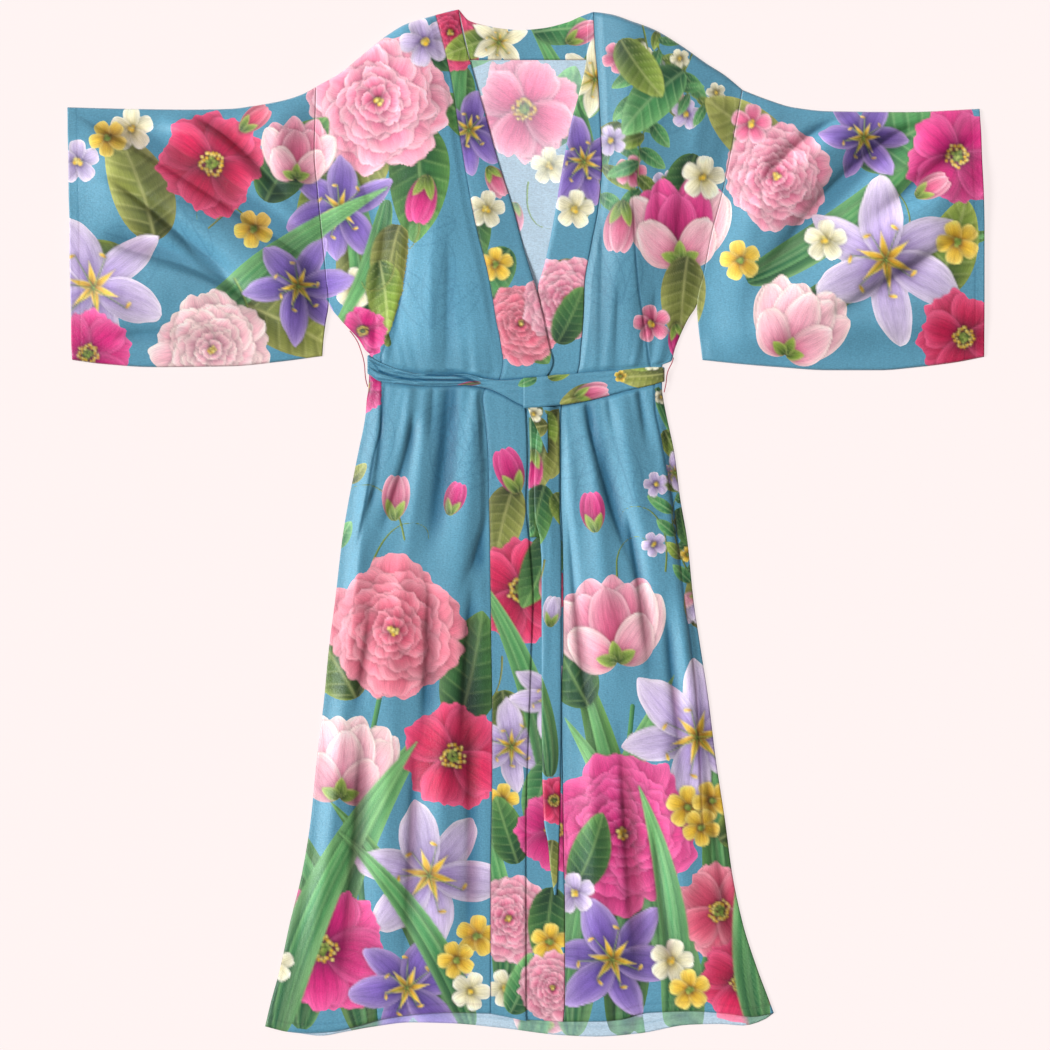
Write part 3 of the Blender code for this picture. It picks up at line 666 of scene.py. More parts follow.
def gathers(x, y, seed):
    """Fine pleats that run up and down from the belt and die away from it."""
    out = beyond_belt(x, y)
    away = np.abs(out)
    spread = x / (1 + away / 700.0)
    wave = np.sin(spread / 2.6 + 2.2 * drift(spread, y, 22, 500, seed))
    wide = np.sin(spread / 5.2 + 2.6 * drift(spread, y, 40, 500, seed + 1))
    strength = ramp(away, 0, 6) * np.exp(-away / np.where(out < 0, 80, 50))
    patch = 0.55 + 0.45 * drift(x, y, 45, 400, seed + 2)
    return strength * patch * (0.4 * wave + 0.9 * wide)


def soft_lie(x, y, seed):
    """The slow, uneven lie of thin satin on a flat surface."""
    slow = 0.8 * drift(x, y, 70, 190, seed) + 0.45 * drift(x, y, 32, 80, seed + 1)
    return slow + 0.16 * drift(x, y, 13, 24, seed + 2) + 0.05 * drift(x, y, 5, 8, seed + 3)


def settled(puff, folds):
    """Folds over the cloth's own rise: crests level off, and troughs come to rest on what is below."""
    relief = puff + np.where(folds > 0, CREST_LIMIT * np.tanh(folds / CREST_LIMIT), folds)
    resting = TROUGH_REST * np.exp(np.minimum(relief, TROUGH_REST) / TROUGH_REST - 1)
    return np.where(relief > TROUGH_REST, relief, resting)


def rounded_edge(distance, radius=BORDER_ROUND):
    """A quarter round from 0 at an edge to 1 a radius in from it."""
    depth = np.clip(distance, 0, radius)
    return np.sqrt(depth * (2 * radius - depth)) / radius


def border_roll(grid, near=True):
    """How far a front or band has risen from the back: 0 at its sewn or hemmed border, 1 on its face."""
    x, y = grid[:, :, 0], grid[:, :, 1]
    top = np.abs(grid[:1, :, 1] - y)
    foot = np.abs(grid[-1:, :, 1] - y)
    roll = rounded_edge(top) * rounded_edge(foot)
    if near:
        side = rounded_edge(np.abs(grid[:, :1, 0] - x))
        roll = roll * (1 - (1 - side) * ramp(y, *SIDE_TUCK))
    return roll


def painted_light(grid, relief):
    """Painted light and shade of satin on its folds, from -1 to 1: painted light where it leans to the
    viewer's left, to the light, and painted shade where it leans away.
    """
    (z_down, z_along), (x_down, x_along), (y_down, y_along) = (
        np.gradient(values) for values in (relief, grid[:, :, 0], grid[:, :, 1])
    )
    rise = (z_down * y_along - z_along * y_down) / (x_down * y_along - x_along * y_down)
    return np.tanh(PAINTED_LIGHT_SLOPE * rise)


def front_top(grid, shares, folds, lift, seed, strength):
    """A front panel's height, the painted shade in its troughs by their depth, and its painted light and
    shade from the slopes; the side seam is at share 0.
    """
    x, y = grid[:, :, 0], grid[:, :, 1]
    share = shares[None, :] + 0 * x
    in_skirt = y < BELT_MID_Y
    out = np.abs(beyond_belt(x, y))
    free = ramp(out, -1, 7) * between_ends(share, 0.14, 0.07)
    loose = ramp(out, 0, 5) * between_ends(share, 0.05, 0.06)

    skirt_puff = HEM_PUFF + (SKIRT_PUFF - HEM_PUFF) * ramp(y, *SKIRT_FILLS)
    puff = np.where(in_skirt, skirt_puff, BODICE_PUFF * (0.2 + 1.8 * share))
    puff = BELT_PUFF + (puff - BELT_PUFF) * ramp(out, -20, 100)
    puff = puff * (0.2 + 0.8 * ramp(share, 1, 0.7))

    below = fold_relief([fold for fold in folds if fold[3] < BELT_MID_Y], x, y)
    above = fold_relief([fold for fold in folds if fold[3] >= BELT_MID_Y], x, y)
    kept = (0.7 + 0.3 * ramp(out, 0, 60)) * np.where(in_skirt, below, BODICE_FOLDS * above)
    folded = FOLD_GAIN * strength * kept
    # Painted shade in the troughs, stronger on the skirt.
    trough_shade = np.where(in_skirt, ramp(kept, 0, -2.3), 0.55 * ramp(kept, 0, -2.8))

    base = FRONT_LEVEL + CLOTH + bump(belt_distance(x, y), FRONT_BUMP)
    base = base + ARMHOLE_LIFT * ramp(y, *ARMHOLE_START) + lift * ramp(share, 0.3, 1)
    fine = gathers(x, y, seed) + 0.6 * soft_lie(x, y, seed + 5)
    full = base + free * settled(puff, folded) + strength * loose * fine
    floor = BACK_TOP + SHELL + 0.2 + bump(belt_distance(x, y), BACK_BUMP)
    return floor + (full - floor) * border_roll(grid), free * trough_shade, painted_light(grid, free * folded)


def tall(grid, height):
    """Plan points and heights joined into points in space."""
    return np.dstack([grid, height])


def wide_cells(table, rows_kept, columns_kept, wrap):
    """An inner face's cells as rings of point numbers, with every point of a border that they touch."""
    last_row, last_column = len(table) - 1, table.shape[1] - 1
    for r0, r1 in zip(rows_kept[:-1], rows_kept[1:]):
        for c0, c1 in zip(columns_kept[:-1], columns_kept[1:]):
            ring = [table[r0, c] for c in (range(c0, c1) if r0 == 0 and not wrap else (c0,))]
            ring += [table[r, c1] for r in (range(r0, r1) if c1 == last_column else (r0,))]
            ring += [table[r1, c] for c in (range(c1, c0, -1) if r1 == last_row and not wrap else (c1,))]
            ring += [table[r, c0] for r in (range(r1, r0, -1) if c0 == 0 else (r1,))]
            yield ring


def add_attributes(mesh, attributes, kept):
    """Stores values given for the outer points on those and on the inner points kept from them."""
    fields = {"FLOAT": "value", "FLOAT_COLOR": "color", "FLOAT_VECTOR": "vector"}
    for key, (kind, values) in attributes.items():
        layer = mesh.attributes.new(key, kind, "POINT")
        layer.data.foreach_set(fields[kind], np.vstack([values, values[kept]]).ravel())


def shell(name, outer, inner, look, inside="printed side", face="printed side", coarse=4, wrap=False):
    """A closed thin shell: a fine outer face, a rim, and an inner face on every few of the same points.

    Both faces are given as rows and columns of points. Wrapped rows close into a tube.
    """
    rows, columns = outer.shape[:2]
    number = np.arange(rows * columns).reshape(rows, columns)
    table = np.vstack([number, number[:1]]) if wrap else number
    corners = (table[:-1, :-1], table[1:, :-1], table[1:, 1:], table[:-1, 1:])
    quads = np.stack(corners, -1).reshape(-1, 4)
    turn = -1 if outer[0, 0, 0] > outer[0, -1, 0] else 1
    faces = quads[:, ::turn].tolist()
    outer_count = len(faces)

    rows_kept = sorted(set(range(0, rows, coarse)) | {len(table) - 1})
    columns_kept = sorted(set(range(0, columns, coarse)) | {columns - 1})
    if wrap:
        borders = [number[::-1, 0], number[:, -1]]
    else:
        borders = [np.concatenate([number[0, :-1], number[:-1, -1], number[-1, :0:-1], number[:0:-1, 0]])]
    kept = np.unique(np.concatenate([*borders, table[np.ix_(rows_kept, columns_kept)].ravel()]))
    order = {int(old): rows * columns + new for new, old in enumerate(kept)}
    for ring in wide_cells(table, rows_kept, columns_kept, wrap):
        faces.append([order[int(k)] for k in ring][::turn])
    inner_count = len(faces)
    for border in borders:
        for here, after in zip(border.tolist(), np.roll(border, -1).tolist()):
            faces.append([here, after, order[after], order[here]][::turn])

    outer, inner = (points.reshape(-1, 3) - (0, MIDDLE_Y, 0) for points in (outer, inner))
    mesh = bpy.data.meshes.new(name)
    mesh.from_pydata((np.vstack([outer, inner[kept]]) * MM).tolist(), [], faces)
    add_attributes(mesh, look, kept)
    for side in (face, inside):
        mesh.materials.append(robe_material(side))
    slots = np.zeros(len(faces), np.int32)
    slots[outer_count:inner_count] = 1
    mesh.polygons.foreach_set("material_index", slots)
    mesh.shade_smooth()
    obj = bpy.data.objects.new(name, mesh)
    bpy.context.scene.collection.objects.link(obj)
    return obj


def beneath(height, wall, coarse=4):
    """An inner face a wall below the lowest outer point near by, so that its wide cells stay hidden."""
    low = height
    for axis in (0, 1):
        pad = [(coarse, coarse) if k == axis else (0, 0) for k in (0, 1)]
        padded = np.pad(low, pad, mode="edge")
        span = low.shape[axis]
        low = np.min([np.take(padded, range(k, k + span), axis) for k in range(2 * coarse + 1)], axis=0)
    return low - wall


def marks(grid, seams, hems=()):
    """Grooves along the sewn borders of a grid, and stitch lines a little way in from its hems."""
    borders = {"near": grid[:, :1], "far": grid[:, -1:], "top": grid[:1], "foot": grid[-1:]}
    lines = [(key, depth, 0.0) for key, depth in seams.items()] + [(key, 0.25, HEM_DEPTH) for key in hems]
    seam_and_shade = np.zeros(grid.shape[:2])
    for key, depth, inset in lines:
        away = np.hypot(*np.moveaxis(grid - borders[key], -1, 0))
        seam_and_shade = np.maximum(seam_and_shade, depth * bell(away - inset, SEAM_LINE))
    return seam_and_shade


def across_pleat(pleat, grid):
    """Signed distance outside a pleat's line, and its strength, which fades at both its ends."""
    table = np.array(sorted((y, x) for x, y in pleat), float)
    x, y = grid[:, :, 0], grid[:, :, 1]
    beyond = (x - eased(table[:, 0], table[:, 1], y)) * np.sign(table[0, 1])
    return beyond, within(y, table[0, 0], table[-1, 0], PLEAT_FADE)


def near_line(line, x, y, width):
    """1 on a line that runs from left to right, 0 away from it and beyond its ends."""
    table = np.array(sorted(line), float)
    gap = y - eased(table[:, 0], table[:, 1], x)
    return within(x, table[0, 0], table[-1, 0], CREASE_FADE) * bell(gap, width)


def linear(red, green, blue):
    """A colour as the eye sees it, from 0 to 255, as linear light."""
    seen = np.array([red, green, blue], float) / 255
    return np.where(seen <= 0.04045, seen / 12.92, ((seen + 0.055) / 1.055) ** 2.4)


# Dyes of the print, as the eye sees them. Columns: root, body and rim of a petal or leaf, its veins.
DYES_SEEN = {
    "rose": ((190, 30, 90), (232, 98, 142), (251, 196, 208), (176, 20, 80)),
    "blush": ((216, 84, 126), (244, 168, 188), (253, 228, 222), (208, 84, 126)),
    "crimson": ((110, 0, 50), (212, 14, 78), (246, 96, 140), (92, 0, 42)),
    "magenta": ((136, 0, 84), (214, 14, 118), (246, 104, 168), (108, 0, 70)),
    "coral": ((170, 14, 60), (226, 74, 110), (250, 164, 178), (150, 8, 52)),
    "lilac": ((150, 118, 190), (205, 184, 226), (240, 228, 240), (120, 84, 168)),
    "violet": ((60, 40, 120), (120, 88, 178), (196, 170, 222), (44, 26, 100)),
    "cream": ((236, 214, 120), (249, 240, 200), (254, 250, 234), (206, 190, 110)),
    "sun": ((214, 140, 20), (248, 200, 48), (253, 232, 130), (190, 110, 10)),
    "green": ((30, 96, 56), (72, 146, 82), (138, 196, 122), (176, 216, 150)),
    "deep": ((24, 66, 38), (52, 106, 52), (108, 156, 80), (150, 186, 112)),
    "olive": ((84, 92, 36), (134, 142, 62), (190, 190, 104), (208, 206, 132)),
    "moss": ((60, 88, 30), (120, 150, 52), (186, 204, 96), (210, 220, 140)),
}
DYES = {name: [linear(*colour) for colour in row] for name, row in DYES_SEEN.items()}

BARE = -60.0            # how far from any motif the bare ground is taken to be
REACH = 1.3             # no motif reaches further than this many times its size
SHADOW_REACH = 7        # a shape darkens the shapes under it this far out
SHADOW_FADE = 2.4
SOFT_EDGE = 2.2         # width over which a shape's edge blends into the shape under it
SPILL = 5               # how far a shape's colour goes past its edge over bare ground


def frill_of(along, across, phase):
    """How far a ruffled petal's rim wavers in and out on its way round the root."""
    way = np.arctan2(across, np.maximum(along, 0.05))
    frill = np.sin(7 * way + phase[0]) + 0.6 * np.sin(15 * way + phase[1])
    return frill + 0.4 * np.sin(27 * way + phase[2])


def petal_shape(along, across, length, width, root, tip):
    """Where points lie in a petal: how far along it, how far to its sides, and how far inside its edge."""
    share = np.clip(along, 0.002, 0.998)
    widest = root / (root + tip)
    half = width / length / 2 * (share / widest) ** root * ((1 - share) / (1 - widest)) ** tip
    half = np.maximum(half, 0.002)
    gap = np.minimum((half - np.abs(across)) * length, np.minimum(along, 1 - along) * length * 0.9)
    past_end = np.maximum(-along, along - 1) * length
    past_side = np.maximum(np.abs(across) - half, 0) * length
    gap = np.where(past_end > 0, -np.hypot(past_end, past_side), gap)
    return share, np.clip(across / half, -1.4, 1.4), gap


def petal_body(dye, share, side, shade, phase):
    """The colour of a petal or leaf without its veins, and how brightly it is lit."""
    dye_root, dye_body, dye_rim, _ = DYES[dye]
    up = smooth(share * 1.7)[:, None]
    colour = dye_root * (1 - up) + dye_body * up
    rim = np.clip(np.abs(side) ** 3 * 0.7 + share**4 * 0.75, 0, 1)[:, None]
    colour = colour * (1 - rim) + dye_rim * rim
    lit = 1.04 - shade * (1 - share) ** 1.3
    lit = lit + 0.14 * np.sin(side * 1.4 + phase[0]) + 0.07 * np.sin(share * 6 + side * 2 + phase[1])
    return colour, lit


def ribs_of(share, side, across, size, ribs, phase):
    """The veins of a ribbed leaf, and how dark it is beside them."""
    chevron = np.mod(share * ribs - np.abs(side) * 0.9 + phase, 1.0)
    vein = bell(chevron - 0.5, 0.08) * 0.55 * (np.abs(side) < 0.93)
    vein = np.maximum(vein, bell(across, 0.5 + 0.012 * size))
    return vein, 1 - 0.22 * bell(chevron - 0.25, 0.16)


def veins_of(share, side, veins, phase):
    """The veins of a petal, which fan out from its root and fade towards its rim."""
    broad = np.sin(side * veins + phase[3] + 0.8 * np.sin(share * 5 + phase[4]))
    fine = np.sin(side * veins * 2.3 + phase[4])
    vein = 0.5 * ramp(broad, 0.35, 1) + 0.25 * ramp(fine, 0.5, 1)
    return vein * (1 - 0.55 * share)


class Canvas:
    """Points of the cloth on which a floral print is painted, one shape over another."""

    def __init__(self, x, y):
        self.x, self.y = x.ravel(), y.ravel()
        self.colour = np.zeros((self.x.size, 3))
        self.edge = np.full(self.x.size, BARE)
        self.brush = np.zeros((self.x.size, 2))
        self.line = np.zeros(self.x.size)
        self.window = np.arange(self.x.size)

    def look_at(self, x0, y0, reach, allowed):
        """Limits the next shapes to the allowed points within reach; returns whether there are any."""
        near = (np.abs(self.x - x0) < reach) & (np.abs(self.y - y0) < reach) & allowed
        self.window = np.nonzero(near)[0]
        return self.window.size > 0

    def lay(self, index, gap, colour, brush, shadow=0.35):
        """Lays one shape: gap is the distance inside its edge, below 0 outside it."""
        before = self.edge[index]
        dim = (before > 0) & (gap < 0) & (gap > -SHADOW_REACH)
        self.colour[index[dim]] *= (1 - shadow * np.exp(gap[dim] / SHADOW_FADE))[:, None]
        covered = before > 0.2
        alpha = np.where(covered, np.clip(gap / SOFT_EDGE + 0.5, 0, 1), (gap > before) & (gap > -SPILL))
        hit = alpha > 0
        chosen, share = index[hit], alpha[hit][:, None]
        self.colour[chosen] = self.colour[chosen] * (1 - share) + colour[hit] * share
        over = gap > 0
        self.brush[index[over]] = brush[over]
        self.edge[index] = np.maximum(before, gap)

    def petal(self, x0, y0, turn, length, width, dye, root=0.6, tip=0.45, bend=0.0, ruffle=0.0,
              veins=9.0, ribs=0.0, shade=0.35, seed=0, ghost=False):
        """One petal or leaf from its root at x0, y0, growing towards turn (in degrees).

        Root and tip shape its two ends. It has fanned veins, or ribs if their number isn't 0, and shade
        is how dark its root is. A ghost is drawn in line only.
        """
        index = self.window
        dx, dy = self.x[index] - x0, self.y[index] - y0
        near = np.hypot(dx, dy) < length * 1.25 + SHADOW_REACH
        index, dx, dy = index[near], dx[near], dy[near]
        if not index.size:
            return
        angle = math.radians(turn)
        along = (dx * math.cos(angle) + dy * math.sin(angle)) / length
        across = (dy * math.cos(angle) - dx * math.sin(angle)) / length - bend * along * np.abs(along)
        phase = np.random.default_rng(seed).uniform(0, 6.28, 5)
        if ruffle:
            along = along / (1 + ruffle * frill_of(along, across, phase) * smooth(along))
        share, side, gap = petal_shape(along, across, length, width, root, tip)
        across = across * length
        if ghost:
            slanted = bell(np.mod(share * 7 - np.abs(side) * 0.8, 1.0) - 0.5, 0.09)
            inner = np.maximum(bell(across, 1.1), 0.6 * slanted) * (gap > 0)
            self.line[index] = np.maximum(self.line[index], np.maximum(bell(gap, 1.0), inner))
            return
        colour, lit = petal_body(dye, share, side, shade, phase)
        if ribs:
            vein, hollow = ribs_of(share, side, across, length, ribs, phase[3])
            colour = colour * hollow[:, None]
            lit = lit + 0.12 * np.sign(side) * smooth(np.abs(side) * 6)
        else:
            vein = veins_of(share, side, veins, phase)
        vein = 0.5 * vein[:, None]
        colour = colour * (1 - vein) + DYES[dye][3] * vein
        colour = colour * np.clip(lit, 0.3, 1.25)[:, None]
        brush = np.column_stack([side * width * 0.5 + seed * 13.0 % 97, share * length + seed * 7.0 % 53])
        self.lay(index, gap, colour, brush)

    def stroke(self, points, wide, narrow, dye, seed=0):
        """A stem or tendril through its points, drawn with a lit side."""
        points = np.asarray(points, float)
        if len(points) > 2:
            stops = np.arange(len(points), dtype=float)
            at = np.linspace(0, stops[-1], 10 * len(points))
            points = np.column_stack([eased(stops, column, at) for column in points.T])
        index = self.window
        low, high = points.min(axis=0) - wide - 6, points.max(axis=0) + wide + 6
        index = index[inside_box(self.x[index], self.y[index], low, high)]
        if not index.size:
            return
        distance, along, left = nearest(points, self.x[index], self.y[index])
        half = (wide + (narrow - wide) * along) / 2
        gap = half - distance
        dye_root, dye_body, dye_rim, _ = DYES[dye]
        lit = smooth(0.5 + 0.5 * left / np.maximum(half, 0.2))[:, None]
        colour = dye_root * (1 - lit) + (0.4 * dye_rim + 0.6 * dye_body) * lit
        keep = gap > -6
        brush = np.column_stack([left * 2, along * 80 + seed])
        self.lay(index[keep], gap[keep], colour[keep], brush[keep], shadow=0.2)

    def dots(self, x0, y0, near, far, size, count, dye, seed=0):
        """A ring of round dots, such as stamens, between two distances from a centre."""
        draw = np.random.default_rng(seed)
        for k in range(count):
            angle = FULL_TURN * (k + draw.uniform(-0.3, 0.3)) / count
            away = draw.uniform(near, far)
            x, y = x0 + away * math.cos(angle), y0 + away * math.sin(angle)
            index = self.window
            off = np.hypot(self.x[index] - x, self.y[index] - y)
            close = off < size + 4
            index, off = index[close], off[close]
            if not index.size:
                continue
            body = DYES[dye][1 if k % 2 else 2]
            colour = np.tile(body, (index.size, 1)) * (0.85 + 0.15 * draw.random())
            self.lay(index, size - off, colour, np.zeros((index.size, 2)), shadow=0.3)


# Rings of a peony's petals, outermost first. Columns: reach, count, width.
PEONY_RINGS = [
    (1.0, 9, 0.80), (0.86, 9, 0.74), (0.72, 8, 0.66), (0.58, 8, 0.56), (0.45, 7, 0.46), (0.32, 6, 0.36),
    (0.2, 5, 0.24),
]

# Layers of a lotus's petals, rearmost first. Columns: reach, angles from its axis.
LOTUS_LAYERS = [
    (1.0, (-52, 52)), (1.06, (-34, 34)), (1.1, (-14, 14)), (0.98, (-44, 44)), (0.96, (-22, 24)),
    (0.9, (2,)), (0.66, (-58, 60)),
]


def peony(canvas, x, y, size, turn, dye, seed):
    """A full, ruffled bloom of seven rings of broad petals."""
    draw = np.random.default_rng(seed)
    for level, (reach, count, width) in enumerate(PEONY_RINGS):
        for k in range(count):
            angle = turn + 360 * (k + 0.5 * (level % 2)) / count + draw.uniform(-9, 9)
            length = size * reach * draw.uniform(0.9, 1.06)
            root_x, root_y = x + draw.uniform(-0.03, 0.03) * size, y + draw.uniform(-0.03, 0.03) * size
            canvas.petal(
                root_x, root_y, angle, length, size * width * draw.uniform(0.9, 1.1), dye, root=0.75,
                tip=0.28, bend=draw.uniform(-0.12, 0.12), ruffle=0.035, veins=8, shade=0.55,
                seed=seed * 100 + level * 12 + k,
            )
    canvas.dots(x, y, 0, size * 0.07, size * 0.025, 9, "sun", seed)


def anemone(canvas, x, y, size, turn, dye, seed):
    """An open flower of eight wide petals round a dotted eye."""
    draw = np.random.default_rng(seed)
    for level, reach in enumerate((1.0, 0.94)):
        for k in range(4):
            angle = turn + 90 * k + 45 * level + draw.uniform(-7, 7)
            canvas.petal(
                x, y, angle, size * reach * draw.uniform(0.93, 1.05), size * draw.uniform(0.84, 0.98), dye,
                root=0.7, tip=0.3, bend=draw.uniform(-0.06, 0.06), ruffle=0.05, veins=15, shade=0.3,
                seed=seed * 100 + level * 8 + k,
            )
    canvas.dots(x, y, size * 0.02, size * 0.12, size * 0.035, 14, "moss", seed + 1)
    canvas.dots(x, y, size * 0.13, size * 0.24, size * 0.026, 30, "sun", seed + 2)


def lily(canvas, x, y, size, turn, dye, seed):
    """Six long pointed petals with a pale throat and stamens."""
    draw = np.random.default_rng(seed)
    for level in range(2):
        for k in range(3):
            angle = turn + 120 * k + 60 * level + draw.uniform(-6, 6)
            canvas.petal(
                x, y, angle, size * draw.uniform(0.9, 1.08), size * (0.46 + 0.08 * level), dye,
                root=0.75, tip=0.75, bend=draw.uniform(-0.22, 0.22), ruffle=0.03, veins=11, shade=0.15,
                seed=seed * 100 + level * 3 + k,
            )
    for k in range(6):
        canvas.petal(
            x, y, turn + 60 * k, size * 0.36, size * 0.1, "sun", root=0.5, tip=1.4, veins=5, seed=seed + k,
        )
    for k in range(6):
        angle = math.radians(turn + 28 + 52 * k)
        far = size * draw.uniform(0.34, 0.5)
        end = (x + far * math.cos(angle), y + far * math.sin(angle))
        canvas.stroke([(x, y), end], 1.8, 1.0, "moss", seed)
        canvas.petal(*end, math.degrees(angle) + 80, size * 0.1, size * 0.045, "sun", seed=seed + k)


def lotus(canvas, x, y, size, turn, dye, seed):
    """A large bloom seen from the side, its petals cupped upwards from a green base."""
    draw = np.random.default_rng(seed)
    for level, (reach, leans) in enumerate(LOTUS_LAYERS):
        for k, lean in enumerate(leans):
            canvas.petal(
                x, y, turn + lean + draw.uniform(-4, 4), size * reach * draw.uniform(0.94, 1.04),
                size * 0.52, dye if level % 3 else "blush", root=0.6, tip=0.55, bend=-0.004 * lean,
                ruffle=0.015, veins=12, shade=0.25, seed=seed * 100 + level * 3 + k,
            )
    for lean in (-70, 0, 70):
        canvas.petal(x, y, turn + lean, size * 0.26, size * 0.16, "moss", root=0.5, tip=0.8, seed=seed + 7)


def blossom(canvas, x, y, size, turn, dye, seed):
    """A small five-petalled flower."""
    for k in range(5):
        canvas.petal(
            x, y, turn + 72 * k, size, size * 0.78, dye, root=0.6, tip=0.3, veins=7, shade=0.45,
            seed=seed * 10 + k,
        )
    canvas.dots(x, y, 0, size * 0.16, size * 0.09, 6, "sun" if dye != "sun" else "moss", seed)


def bud(canvas, x, y, size, turn, dye, seed):
    """A closed bud in its green cup."""
    for lean, width in ((-13, 0.42), (13, 0.42), (0, 0.4)):
        canvas.petal(
            x, y, turn + lean, size, size * width, dye, root=0.6, tip=0.6, bend=-0.006 * lean, veins=8,
            seed=seed + 40 + lean,
        )
    for lean in (-24, 22):
        canvas.petal(
            x, y, turn + lean, size * 0.5, size * 0.2, "moss", root=0.5, tip=0.8, veins=5, seed=seed,
        )


def spray(canvas, x, y, size, turn, dye, seed):
    """A stem of small leaves and blossoms that hangs or climbs."""
    draw = np.random.default_rng(seed)
    angle = math.radians(turn)
    side = np.array([-math.sin(angle), math.cos(angle)])
    ahead = np.array([math.cos(angle), math.sin(angle)])
    shares = np.linspace(0, 1, 6)
    route = [
        np.array([x, y]) + ahead * size * share + side * size * 0.12 * math.sin(4.5 * share + seed)
        for share in shares
    ]
    canvas.stroke(route, 2.6, 1.0, "moss", seed)
    for k in range(12):
        share = 0.1 + 0.9 * k / 12
        spot = [np.interp(share * 5, range(6), column) for column in np.transpose(route)]
        lean = turn + (52 if k % 2 else -52) + draw.uniform(-14, 14)
        canvas.petal(
            *spot, lean, size * 0.19 * draw.uniform(0.8, 1.15), size * 0.085,
            "green" if k % 3 else "moss", root=0.6, tip=0.8, ribs=5, seed=seed + k,
        )
    for k in range(4):
        spot = route[1 + k] + side * size * (0.16 if k % 2 else -0.16)
        blossom(canvas, *spot, size * 0.085, turn + 31 * k, dye, seed + k)


def leaf(canvas, x, y, size, turn, dye, seed):
    """A broad ribbed leaf."""
    bend = np.random.default_rng(seed).uniform(-0.2, 0.2)
    canvas.petal(
        x, y, turn, size, size * 0.52, dye, root=0.5, tip=0.7, bend=bend, ruffle=0.01, ribs=8, shade=0.3,
        seed=seed,
    )


def blade(canvas, x, y, size, turn, dye, seed):
    """A long strap leaf that bends over."""
    bend = 0.28 if seed % 2 else -0.28
    canvas.petal(
        x, y, turn, size, size * 0.13, dye, root=0.35, tip=0.8, bend=bend, veins=4, shade=0.3, seed=seed,
    )
    canvas.petal(
        x, y, turn, size * 0.99, size * 0.05, "green", root=0.35, tip=0.8, bend=bend, veins=3, shade=0.2,
        seed=seed + 3,
    )


def tendril(canvas, x, y, size, turn, dye, seed):
    """A thin curling stem."""
    angle = math.radians(turn)
    points = []
    for share in np.linspace(0, 1, 9):
        curl = angle + 2.6 * share * share * (1 if seed % 2 else -1)
        step = np.array([math.cos(curl), math.sin(curl)]) * size / 8
        points.append((points[-1] if points else np.array([x, y])) + step * (1 - 0.45 * share))
    canvas.stroke(points, 2.8, 0.9, dye, seed)


def stem(canvas, x, y, size, turn, dye, seed):
    """A thick, slightly bent flower stem."""
    angle, lean = math.radians(turn), 0.06 if seed % 2 else -0.06
    foot = np.array([x, y])
    ahead = np.array([math.cos(angle), math.sin(angle)]) * size
    side = np.array([-ahead[1], ahead[0]]) * lean
    canvas.stroke([foot, foot + ahead * 0.5 + side, foot + ahead], 9.0, 6.0, dye, seed)


def ghost(canvas, x, y, size, turn, dye, seed):
    """Three leaves drawn in line only, a shade darker than the ground."""
    for lean in (-38, 0, 38):
        length = size * (1 - abs(lean) / 140)
        canvas.petal(x, y, turn + lean, length, size * 0.36, dye, tip=0.6, seed=seed, ghost=True)


MOTIFS = {
    maker.__name__: maker
    for maker in (peony, anemone, lily, lotus, blossom, bud, spray, leaf, blade, tendril, stem, ghost)
}

